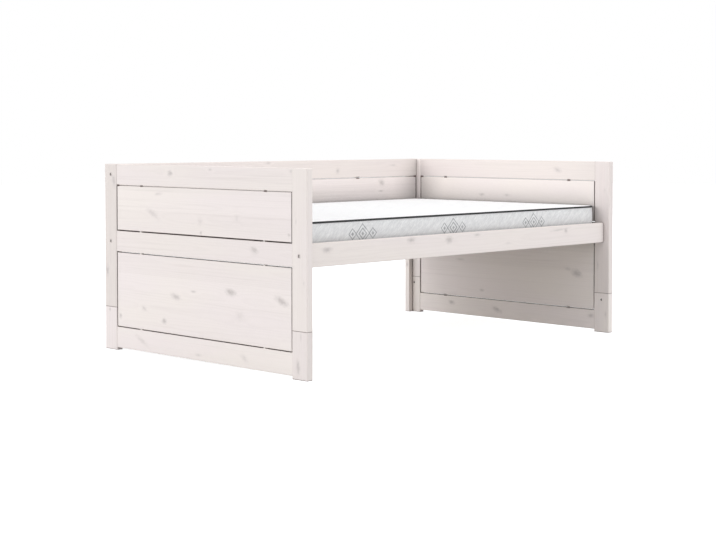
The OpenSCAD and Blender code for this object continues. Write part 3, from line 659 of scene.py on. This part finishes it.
BEECH_LIGHT = paint(186, 170, 152)
BEECH_DARK = paint(160, 142, 122)
WASHED_BEECH_LIGHT = paint(248, 242, 237)
WASHED_BEECH_DARK = paint(230, 221, 214)
BEECH_FLECKS = (60, 700)
BEECH_RELIEF = 0.0002


def beech(name, grain, first, second, light=BEECH_LIGHT, dark=BEECH_DARK):
    """Beech with its short dark flecks along the fibres."""
    recipe = Recipe(name)
    place = [recipe.place(axis) for axis in (grain, first, second)]
    fleck = wood_marks(recipe, place, BEECH_FLECKS)
    share = recipe.rise(fleck, 0.45, 0.75)
    return recipe.finish(recipe.blend(share, light, dark), share * 0.1 + 0.6, share, BEECH_RELIEF)


coat("leg_dowels", beech("leg_dowels", "Z", "X", "Y"))
coat("panel_dowels", beech("panel_dowels", "Z", "X", "Y", WASHED_BEECH_LIGHT, WASHED_BEECH_DARK))
coat("end_frame_dowels", beech("end_frame_dowels", "Y", "X", "Z"))
coat("side_rail_dowels", beech("side_rail_dowels", "X", "Y", "Z"))

# Wash runs: in the three lower gaps of each end some wash has run down the dowels and dried
# between the boards. From outside it shows as a small pale bridge across the dark gap.

RUN_WASH = paint(250, 245, 241)
RUN_SHADE = paint(236, 228, 223)
RUN_SETBACK = 0.0012
RUN_DEPTH = 0.0060
RUN_WIDTH = 0.0060
RUN_WAIST = 0.25
RUN_ROWS = 7
RUN_SIDES = 16
WASH_LUMPS = 300
WASH_RELIEF = 0.0002


def place_piece(name, mesh, material, body, slot, *replaced):
    """Adds a modelled piece, in place of the plain solids that hold its space."""
    mesh.materials.append(material)
    mesh.shade_smooth()
    mesh.update()
    piece = bpy.data.objects.new(name, mesh)
    bpy.context.scene.collection.objects.link(piece)
    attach(piece, body)
    if replaced:
        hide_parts(*replaced)
    return piece


def wash_run(points, faces, middle_x, middle_y, under, over):
    """Adds one run: a waisted drop between two boards, wider where it wets their edges."""
    start = len(points)
    for row in range(RUN_ROWS):
        share = row / (RUN_ROWS - 1)
        waist = 1.0 - RUN_WAIST * (1.0 - (2 * share - 1) ** 2)
        for side in range(RUN_SIDES):
            turn = math.tau * side / RUN_SIDES
            points.append((
                middle_x + RUN_DEPTH * waist * math.cos(turn),
                middle_y + RUN_WIDTH * waist * math.sin(turn),
                under + (over - under) * share,
            ))
    for row in range(RUN_ROWS - 1):
        for side in range(RUN_SIDES):
            here = start + row * RUN_SIDES
            beside = (side + 1) % RUN_SIDES
            above = here + RUN_SIDES
            faces.append((here + side, here + beside, above + beside, above + side))
    last = start + (RUN_ROWS - 1) * RUN_SIDES
    faces.append(tuple(range(start + RUN_SIDES - 1, start - 1, -1)))
    faces.append(tuple(range(last, last + RUN_SIDES)))


run_points = []
run_faces = []
for end, outwards in (("left", -1), ("right", 1)):
    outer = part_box(f"{end}_end_lower_panel")[(outwards + 1) // 2].x
    middle_x = outer - outwards * (RUN_SETBACK + RUN_DEPTH)
    for lower_board, upper_board in (
        ("bottom_rail", "lower_panel"), ("lower_panel", "middle_rail"), ("middle_rail", "upper_panel"),
    ):
        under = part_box(f"{end}_end_{lower_board}")[1].z
        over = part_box(f"{end}_end_{upper_board}")[0].z
        for place in dowel_places:
            wash_run(run_points, run_faces, middle_x, place, under, over)
run_mesh = bpy.data.meshes.new("wash_runs")
run_mesh.from_pydata(run_points, [], run_faces)
dried = Recipe("dried_wash")
clouds = dried.cloud(WASH_LUMPS)
run_colour = dried.blend(clouds * 0.4, RUN_WASH, RUN_SHADE)
dried_wash = dried.finish(run_colour, clouds * 0.1 + 0.45, clouds, WASH_RELIEF)
place_piece("wash_runs", run_mesh, dried_wash, "bed", "whitewashed_pine")

# Metal fittings: zinc-plated steel bolts, studs, barrel nuts and screws. They sit in their holes,
# so only the bolt heads and the ends of the nuts show.

ZINC_BRIGHT = paint(196, 198, 202)
ZINC_DULL = paint(150, 152, 158)
FLAKE_BRIGHT = paint(242, 239, 236)
FLAKE_DULL = paint(220, 216, 212)
BLOOM_LUMPS = 220
ZINC_RELIEF = 0.0001


def zinc(name, dull, bright, metallic, roughness):
    """Zinc with a faint cloudy bloom."""
    recipe = Recipe(name)
    bloom = recipe.cloud(BLOOM_LUMPS, detail=3.0)
    recipe.shader.inputs["Metallic"].default_value = metallic
    colour = recipe.blend(bloom, dull, bright)
    return recipe.finish(colour, bloom * 0.2 + roughness, bloom, ZINC_RELIEF)


zinc_flake = zinc("zinc_flake", FLAKE_DULL, FLAKE_BRIGHT, 0.1, 0.5)
for fitting in ("frame_bolts", "frame_barrel_nuts", "leg_barrel_nuts"):
    coat(fitting, zinc_flake)
zinc_plate = zinc("zinc_plate", ZINC_DULL, ZINC_BRIGHT, 1.0, 0.3)
for fitting in ("leg_studs", "cleat_screws", "batten_screws", "slat_screws"):
    coat(fitting, zinc_plate)

# Mattress core: one block of pale foam with eased corners, which the quilted panels and the
# border close in.

MATTRESS_CORNER = 0.062
FOAM_LIGHT = paint(246, 238, 212)
FOAM_SHADE = paint(226, 214, 178)
FOAM_CELLS = 600
FOAM_RELIEF = 0.0006
CORE_EASE = 0.006
CORE_PITCH = 0.04
core_low, core_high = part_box("mattress_core")
border_low, border_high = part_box("mattress_border")


def rounded(x, y, half_x, half_y, radius):
    """Moves a point of a rectangle so that the rectangle gets round corners."""
    over_x = abs(x) - (half_x - radius)
    over_y = abs(y) - (half_y - radius)
    if over_x <= 0 or over_y <= 0:
        return x, y
    share_x = over_x / radius
    share_y = over_y / radius
    new_x = half_x - radius + over_x * math.sqrt(1 - share_y * share_y / 2)
    new_y = half_y - radius + over_y * math.sqrt(1 - share_x * share_x / 2)
    return math.copysign(new_x, x), math.copysign(new_y, y)


def pad_mesh(name, half_x, half_y, radius, pitch, rim, upper, lower):
    """A closed pad: an upper and a lower skin joined by a rolled rim.

    The rim is a list of insets and heights from the upper skin down to the lower one. upper and
    lower give each skin's height over its edge at a place and its distance from the edge."""
    columns = 2 * round(half_x / pitch) + 1
    rows = 2 * round(half_y / pitch) + 1
    points = []
    faces = []
    edge = []
    for column in range(columns):
        edge.append((column, 0))
    for row in range(1, rows):
        edge.append((columns - 1, row))
    for column in range(columns - 2, -1, -1):
        edge.append((column, rows - 1))
    for row in range(rows - 2, 0, -1):
        edge.append((0, row))

    def flat_place(column, row, inset):
        x = (2 * column / (columns - 1) - 1) * half_x
        y = (2 * row / (rows - 1) - 1) * half_y
        scale_x = (half_x - inset) / half_x
        scale_y = (half_y - inset) / half_y
        return rounded(x * scale_x, y * scale_y, half_x - inset, half_y - inset, radius - inset)

    def skin(inset, base, lift, flip):
        start = len(points)
        for row in range(rows):
            for column in range(columns):
                x, y = flat_place(column, row, inset)
                inside = min(half_x - inset - abs(x), half_y - inset - abs(y))
                points.append((x, y, base + lift(x, y, inside)))
        for row in range(rows - 1):
            for column in range(columns - 1):
                corner = start + row * columns + column
                quad = (corner, corner + 1, corner + columns + 1, corner + columns)
                faces.append(quad[::-1] if flip else quad)
        return [start + row * columns + column for column, row in edge]

    ring = skin(rim[0][0], rim[0][1], upper, False)
    for inset, height in rim[1:-1]:
        start = len(points)
        for column, row in edge:
            x, y = flat_place(column, row, inset)
            points.append((x, y, height))
        next_ring = list(range(start, start + len(edge)))
        for i in range(len(edge)):
            j = (i + 1) % len(edge)
            faces.append((ring[j], ring[i], next_ring[i], next_ring[j]))
        ring = next_ring
    last_ring = skin(rim[-1][0], rim[-1][1], lower, True)
    for i in range(len(edge)):
        j = (i + 1) % len(edge)
        faces.append((ring[j], ring[i], last_ring[i], last_ring[j]))
    mesh = bpy.data.meshes.new(name)
    mesh.from_pydata(points, [], faces)
    return mesh


def level(x, y, inside):
    """Lift of a flat skin."""
    return 0.0


foam = Recipe("open_cell_foam")
cells = foam.cloud(FOAM_CELLS)
foam_material = foam.finish(foam.blend(cells, FOAM_SHADE, FOAM_LIGHT), 0.9, cells, FOAM_RELIEF)
core_size = (core_high - core_low) / 2
core_mesh = pad_mesh(
    "mattress_foam",
    core_size.x,
    core_size.y,
    MATTRESS_CORNER - (border_high.x - core_high.x),
    CORE_PITCH,
    [
        (CORE_EASE, core_high.z),
        (CORE_EASE * 0.3, core_high.z - CORE_EASE * 0.3),
        (0.0, core_high.z - CORE_EASE),
        (0.0, core_low.z + CORE_EASE),
        (CORE_EASE * 0.3, core_low.z + CORE_EASE * 0.3),
        (CORE_EASE, core_low.z),
    ],
    level,
    level,
)
core = place_piece("mattress_foam", core_mesh, foam_material, "mattress", "foam", "mattress_core")

# Quilted panels: white knitted ticking over wadding, sewn through in diamonds, closes the top and
# the bottom of the mattress. The edge rolls over and goes down into the seam beside the piping.

TICKING_WHITE = paint(251, 251, 252)
TICKING_SHADE = paint(243, 244, 246)
QUILT_LENGTH = 0.155
QUILT_WIDTH = 0.105
QUILT_DEPTH = 0.0030
CHANNEL_WIDTH = 0.22
EDGE_FADE = 0.05
KNIT_PITCH = 0.0016
MOTTLE_LUMPS = 30
TICKING_RELIEF = 0.0003
TICKING_REACH = 0.08
CROWN_REACH = 0.30
TOP_PITCH = 0.008
BOTTOM_PITCH = 0.012
SKIRT_INSET = 0.0153
# Inset and height over the seam, from the skin to the seam beside the piping
ROLL = [
    (0.0140, 0.0040),
    (0.0100, 0.0036),
    (0.0075, 0.0026),
    (0.0066, 0.0012),
    (0.0080, 0.0002),
]
half_x = border_high.x
half_y = border_high.y
top_seam = border_high.z
bottom_seam = border_low.z
top_low, top_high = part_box("mattress_top_panel")
bottom_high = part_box("mattress_bottom_panel")[1]
crown_height = top_high.z - top_seam - ROLL[0][1]


def quilt(x, y):
    """Height lost to the sewn channels, from 0 on a cushion to 1 in a seam."""
    first = x / QUILT_LENGTH + y / QUILT_WIDTH
    second = x / QUILT_LENGTH - y / QUILT_WIDTH
    nearest = min(abs(first - round(first)), abs(second - round(second)))
    return math.exp(-((nearest / CHANNEL_WIDTH) ** 2) * 4)


def top_height(x, y, inside):
    crown = crown_height * math.sin(math.pi / 2 * min(inside / CROWN_REACH, 1.0))
    fade = min(inside / EDGE_FADE, 1.0)
    return crown - QUILT_DEPTH * quilt(x, y) * fade


def bottom_height(x, y, inside):
    fade = min(inside / EDGE_FADE, 1.0)
    return QUILT_DEPTH * quilt(x, y) * fade


ticking = Recipe("quilted_ticking")
knit = ticking.waves(ticking.place("X"), KNIT_PITCH) * ticking.waves(ticking.place("Y"), KNIT_PITCH)
knit = knit * 0.5 + 0.5
mottle = ticking.cloud(MOTTLE_LUMPS)
ticking_colour = ticking.blend(mottle * 0.25 + knit * 0.2, TICKING_WHITE, TICKING_SHADE)
# Painted shade where the mattress meets the walls of the bed and in its hollows
ticking_colour = ticking.blend(ticking.hollow(TICKING_REACH) * PAINTED_SHADE_SHARE, ticking_colour, PAINTED_SHADE_TONE)
ticking.shader.inputs["Sheen Weight"].default_value = 0.15
ticking_material = ticking.finish(ticking_colour, 0.85, knit, TICKING_RELIEF)

top_mesh = pad_mesh(
    "mattress_quilted_top",
    half_x,
    half_y,
    MATTRESS_CORNER,
    TOP_PITCH,
    [(inset, top_seam + rise) for inset, rise in ROLL]
    + [(SKIRT_INSET, top_seam), (SKIRT_INSET, top_low.z)],
    top_height,
    level,
)
top_panel = place_piece(
    "mattress_quilted_top", top_mesh, ticking_material, "mattress", "ticking", "mattress_top_panel"
)
bottom_mesh = pad_mesh(
    "mattress_quilted_bottom",
    half_x,
    half_y,
    MATTRESS_CORNER,
    BOTTOM_PITCH,
    [(SKIRT_INSET, bottom_high.z), (SKIRT_INSET, bottom_seam)]
    + [(inset, bottom_seam - rise) for inset, rise in reversed(ROLL)],
    level,
    bottom_height,
)
bottom_panel = place_piece(
    "mattress_quilted_bottom", bottom_mesh, ticking_material, "mattress", "ticking", "mattress_bottom_panel"
)

# Border: a grey jacquard band with slanting strokes in the weave runs round the core. It swells a
# little between its two seams and puckers where it is gathered into them.

BORDER_LIGHT = paint(246, 246, 246)
BORDER_GREY = paint(224, 224, 225)
BORDER_DARK = paint(148, 150, 153)
BORDER_SHADE = 0.3
BORDER_SLANT = math.radians(42)
BORDER_THICKNESS = 0.015
BORDER_RELIEF = 0.0005
# Strokes of the weave: how many there are to the metre, across the slant and along it
FINE_STROKES = (210, 45)
BROAD_STROKES = (60, 14)
THREAD_PITCH = 0.0016
MOTIFS = 11
MOTIF_LINE = 0.018
LOZENGES = [(0.0, 0.045), (-0.060, 0.026), (0.060, 0.026)]
# Width of the painted highlight along the top of the border, under the piping
HIGHLIGHT_BAND = 0.007
BORDER_ROWS = 15
BORDER_PITCH = 0.006
BORDER_SWELL = 0.003
PUCKER = 0.0007
PUCKER_PITCH = 0.021
SLOW_PUCKER = 0.6
SLOW_PUCKER_PITCH = 0.034
SEAM_INSET = 0.0095
SEAM_TUCK = 0.00595
border_height = top_seam - bottom_seam
border_length = 4 * (half_x + half_y - 2 * MATTRESS_CORNER) + MATTRESS_CORNER * math.tau
motif_pitch = border_length / MOTIFS


def outline_walk(inset, pitch):
    """Places round the mattress at even steps: x, y and the distance walked."""
    radius = MATTRESS_CORNER - inset
    side_x = half_x - inset - radius
    side_y = half_y - inset - radius
    straights = [2 * side_x, 2 * side_y, 2 * side_x, 2 * side_y]
    starts = [
        (-side_x, -side_y - radius, 1, 0),
        (side_x + radius, -side_y, 0, 1),
        (side_x, side_y + radius, -1, 0),
        (-side_x - radius, side_y, 0, -1),
    ]
    centres = [(side_x, -side_y), (side_x, side_y), (-side_x, side_y), (-side_x, -side_y)]
    arc = MATTRESS_CORNER * math.pi / 2
    places = []
    walked = 0.0
    for side in range(4):
        x, y, step_x, step_y = starts[side]
        length = straights[side]
        count = round(length / pitch)
        for i in range(count):
            run = length * i / count
            places.append((x + step_x * run, y + step_y * run, walked + run))
        walked += length
        centre_x, centre_y = centres[side]
        count = round(arc / pitch)
        for i in range(count):
            turn = math.pi / 2 * i / count
            angle = -math.pi / 2 + side * math.pi / 2 + turn
            places.append((
                centre_x + radius * math.cos(angle),
                centre_y + radius * math.sin(angle),
                walked + arc * i / count,
            ))
        walked += arc
    return places


def border_profile(row):
    """Inset and height of the outer skin at a row, from the lower seam to the upper one."""
    if row == 0:
        return SEAM_INSET, bottom_seam
    if row == BORDER_ROWS - 1:
        return SEAM_INSET, top_seam
    share = (row - 1) / (BORDER_ROWS - 3)
    height = bottom_seam + SEAM_TUCK + (border_height - 2 * SEAM_TUCK) * share
    return BORDER_SWELL * (1 - math.sin(math.pi * share)), height


def ring_mesh(name, rings):
    """A closed band of quads through rings of points, the last of which joins the first."""
    columns = len(rings[0])
    faces = []
    for row in range(len(rings)):
        here = row * columns
        above = (row + 1) % len(rings) * columns
        for column in range(columns):
            beside = (column + 1) % columns
            faces.append((here + column, here + beside, above + beside, above + column))
    mesh = bpy.data.meshes.new(name)
    mesh.from_pydata([point for ring in rings for point in ring], [], faces)
    return mesh


def add_border_ring(inset, height, pucker):
    """Adds one ring of the border, and how far round and up the border each of its points lies."""
    ring = []
    for x, y, walked in outline_walk(inset, BORDER_PITCH):
        fast = math.sin(walked * math.tau / PUCKER_PITCH)
        slow = SLOW_PUCKER * math.sin(walked * math.tau / SLOW_PUCKER_PITCH + 1)
        shift = pucker * (fast + slow) / math.hypot(x, y)
        ring.append((x + shift * x, y + shift * y, height))
        border_walks.append((walked, height - bottom_seam))
    border_rings.append(ring)


border_rings = []
border_walks = []
for row in range(BORDER_ROWS):
    inset, height = border_profile(row)
    near_seam = abs(2 * row / (BORDER_ROWS - 1) - 1) ** 3
    add_border_ring(inset, height, 0.0 if row in (0, BORDER_ROWS - 1) else PUCKER * near_seam)
for height in (top_seam, bottom_seam):
    add_border_ring(BORDER_THICKNESS, height, 0.0)
border_mesh = ring_mesh("mattress_border_band", border_rings)
walk_layer = border_mesh.uv_layers.new(name="walk")
for face in border_mesh.polygons:
    widest = max(border_walks[border_mesh.loops[i].vertex_index][0] for i in face.loop_indices)
    for i in face.loop_indices:
        walked, height = border_walks[border_mesh.loops[i].vertex_index]
        if widest - walked > border_length / 2:
            walked += border_length
        walk_layer.data[i].uv = (walked, height)

border = Recipe("border_jacquard")
walk = border.add("ShaderNodeUVMap", uv_map="walk")
walk_axes = border.add("ShaderNodeSeparateXYZ")
border.feed(walk_axes.inputs[0], walk.outputs[0])
run = Field(border, walk_axes.outputs[0])
rise = Field(border, walk_axes.outputs[1])
slanted = run * math.sin(BORDER_SLANT) - rise * math.cos(BORDER_SLANT)
lengthwise = run * math.cos(BORDER_SLANT) + rise * math.sin(BORDER_SLANT)
strokes = border.noise(
    slanted * FINE_STROKES[0], lengthwise * FINE_STROKES[1], 0.0, detail=2.0, roughness=0.6
)
broad_strokes = border.noise(slanted * BROAD_STROKES[0], lengthwise * BROAD_STROKES[1], 4.0, detail=1.0)
stroke_share = border.rise(strokes, 0.40, 0.66) * 0.6 + border.rise(broad_strokes, 0.4, 0.7) * 0.4
# A painted highlight along the top of the border, just under the piping
painted_highlight = border.rise(rise, border_height - HIGHLIGHT_BAND * 1.5, border_height - HIGHLIGHT_BAND * 0.5)
band = border.blend(stroke_share, BORDER_GREY, BORDER_LIGHT)
band = border.blend(painted_highlight * 0.8, band, BORDER_LIGHT)
across_motif = (border.work("FRACT", run / motif_pitch) - 0.5) * motif_pitch
up_motif = border.work("ABSOLUTE", rise - border_height / 2)
for centre, size in LOZENGES:
    spread = border.work("ABSOLUTE", across_motif - centre) + up_motif
    outlines = border.rise(border.waves(spread, MOTIF_LINE), -0.2, 0.8)
    motif = outlines * (1.0 - border.rise(spread, size * 0.92, size)) * (1.0 - stroke_share * 0.5)
    band = border.blend(motif * 0.9, band, BORDER_DARK)
# Painted shade where the border meets the rails and in its hollows
band = border.blend(border.hollow(TICKING_REACH) * BORDER_SHADE, band, PAINTED_SHADE_TONE)
thread = border.waves(slanted, THREAD_PITCH) * 0.5 + 0.5
border.shader.inputs["Sheen Weight"].default_value = 0.2
border_material = border.finish(band, strokes * -0.15 + 0.75, thread * 0.5 + strokes, BORDER_RELIEF)
border_band = place_piece(
    "mattress_border_band", border_mesh, border_material, "mattress", "border_cloth", "mattress_border"
)

# Piping: a cord in charcoal tape is sewn into both seams and draws the dark line round the
# mattress.

PIPING_DARK = paint(24, 24, 26)
PIPING_LIGHT = paint(44, 44, 47)
PIPING_FULLNESS = 1.12
PIPING_SIDES = 12
PIPING_PITCH = 0.012
TAPE_PITCH = 0.0022
TAPE_RELIEF = 0.0003
tape = Recipe("piping_tape")
diagonal = tape.place("X") + tape.place("Y") + tape.place("Z") * 1.5
rib = tape.waves(diagonal, TAPE_PITCH) * 0.5 + 0.5
tape_material = tape.finish(tape.blend(rib * 0.5, PIPING_DARK, PIPING_LIGHT), 0.75, rib, TAPE_RELIEF)
for side in ("top", "bottom"):
    piping_low, piping_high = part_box(f"mattress_{side}_piping")
    cord_radius = (piping_high.z - piping_low.z) / 2 * PIPING_FULLNESS
    cord_height = (piping_high.z + piping_low.z) / 2
    rings = []
    for i in range(PIPING_SIDES):
        turn = math.tau * i / PIPING_SIDES
        inset = cord_radius - cord_radius * math.cos(turn)
        rings.append([
            (x, y, cord_height + cord_radius * math.sin(turn))
            for x, y, walked in outline_walk(inset, PIPING_PITCH)
        ])
    cord_name = f"mattress_{side}_piping_cord"
    cord_mesh = ring_mesh(cord_name, rings)
    place_piece(cord_name, cord_mesh, tape_material, "mattress", "piping", f"mattress_{side}_piping")

# Room: a plain pale floor that keeps the shadow, white surroundings and soft studio light.

FLOOR_SIZE = 40.0
FLOOR_PALE = (0.60, 0.615, 0.63, 1.0)
FLOOR_GLOW = 0.76
WORLD_LIGHT = 0.75
BED_MIDDLE = (0.0, 0.0, 0.5)
FAR_CORNER = (0.9, 0.5, 0.3)


def seen_share(tree):
    """1 where the camera sees a surface, straight, mirrored or through glass, and otherwise 0."""
    rays = tree.nodes.new("ShaderNodeLightPath")
    share = rays.outputs["Is Camera Ray"]
    for kind in ("Is Glossy Ray", "Is Transmission Ray"):
        either = tree.nodes.new("ShaderNodeMath")
        either.operation = "ADD"
        either.use_clamp = True
        tree.links.new(share, either.inputs[0])
        tree.links.new(rays.outputs[kind], either.inputs[1])
        share = either.outputs[0]
    return share


floor_mesh = bpy.data.meshes.new("floor")
half_floor = FLOOR_SIZE / 2
floor_corners = [
    (-half_floor, -half_floor, 0),
    (half_floor, -half_floor, 0),
    (half_floor, half_floor, 0),
    (-half_floor, half_floor, 0),
]
floor_mesh.from_pydata(floor_corners, [], [(0, 1, 2, 3)])
floor = bpy.data.objects.new("floor", floor_mesh)
bpy.context.scene.collection.objects.link(floor)
floor_material = bpy.data.materials.new("floor_white")
floor_material.use_nodes = True
tree = floor_material.node_tree
tree.nodes.clear()
output = tree.nodes.new("ShaderNodeOutputMaterial")
matt = tree.nodes.new("ShaderNodeBsdfDiffuse")
matt.inputs["Color"].default_value = FLOOR_PALE
glow = tree.nodes.new("ShaderNodeEmission")
strength = tree.nodes.new("ShaderNodeMath")
strength.operation = "MULTIPLY"
strength.inputs[1].default_value = FLOOR_GLOW
tree.links.new(seen_share(tree), strength.inputs[0])
tree.links.new(strength.outputs[0], glow.inputs["Strength"])
both = tree.nodes.new("ShaderNodeAddShader")
tree.links.new(matt.outputs[0], both.inputs[0])
tree.links.new(glow.outputs[0], both.inputs[1])
tree.links.new(both.outputs[0], output.inputs["Surface"])
floor_mesh.materials.append(floor_material)

world = bpy.data.worlds.new("studio")
bpy.context.scene.world = world
world.use_nodes = True
sky_tree = world.node_tree
sky = sky_tree.nodes["Background"]
sky.inputs["Color"].default_value = (1.0, 1.0, 1.0, 1.0)
sky_strength = sky_tree.nodes.new("ShaderNodeMapRange")
sky_strength.inputs["To Min"].default_value = WORLD_LIGHT
sky_strength.inputs["To Max"].default_value = 1.0
sky_tree.links.new(seen_share(sky_tree), sky_strength.inputs["Value"])
sky_tree.links.new(sky_strength.outputs[0], sky.inputs["Strength"])


def soft_box(name, place, aim, size, power):
    """A square lamp that points at a place, with its side in metres and its power in watts."""
    lamp = bpy.data.lights.new(name, "AREA")
    lamp.shape = "SQUARE"
    lamp.size = size
    lamp.energy = power
    holder = bpy.data.objects.new(name, lamp)
    holder.location = place
    holder.rotation_euler = (Vector(aim) - Vector(place)).to_track_quat("-Z", "Y").to_euler()
    bpy.context.scene.collection.objects.link(holder)


soft_box("left_softbox", (-12.0, 1.8, 3.6), BED_MIDDLE, 4.0, 375)
soft_box("front_softbox", (1.0, -6.0, 4.5), BED_MIDDLE, 3.0, 120)
soft_box("back_softbox", (-0.8, 2.4, 0.6), FAR_CORNER, 1.6, 20)
soft_box("right_softbox", (11.0, 1.0, 2.4), BED_MIDDLE, 4.0, 170)
soft_box("top_softbox", (0.0, -0.5, 6.0), BED_MIDDLE, 3.0, 50)

# Camera: at the photograph's viewing angle, a little above the top of the bed and looking slightly
# down, with a short telephoto lens whose frame is shifted down.

CAMERA_PLACE = (-5.081, -4.935, 0.9745)
CAMERA_HEADING = 45.43
CAMERA_DIP = 2.0
CAMERA_LENS = 75.37
CAMERA_SHIFT = -0.1163
CAMERA_SENSOR = 36.0
camera_data = bpy.data.cameras.new("camera")
camera_data.sensor_width = CAMERA_SENSOR
camera_data.lens = CAMERA_LENS
camera_data.shift_y = CAMERA_SHIFT
camera = bpy.data.objects.new("camera", camera_data)
camera.location = CAMERA_PLACE
camera.rotation_euler = (math.radians(90 - CAMERA_DIP), 0.0, math.radians(-CAMERA_HEADING))
bpy.context.scene.collection.objects.link(camera)
bpy.context.scene.camera = camera
bpy.context.scene.view_settings.view_transform = "Standard"

bpy.context.view_layer.update()
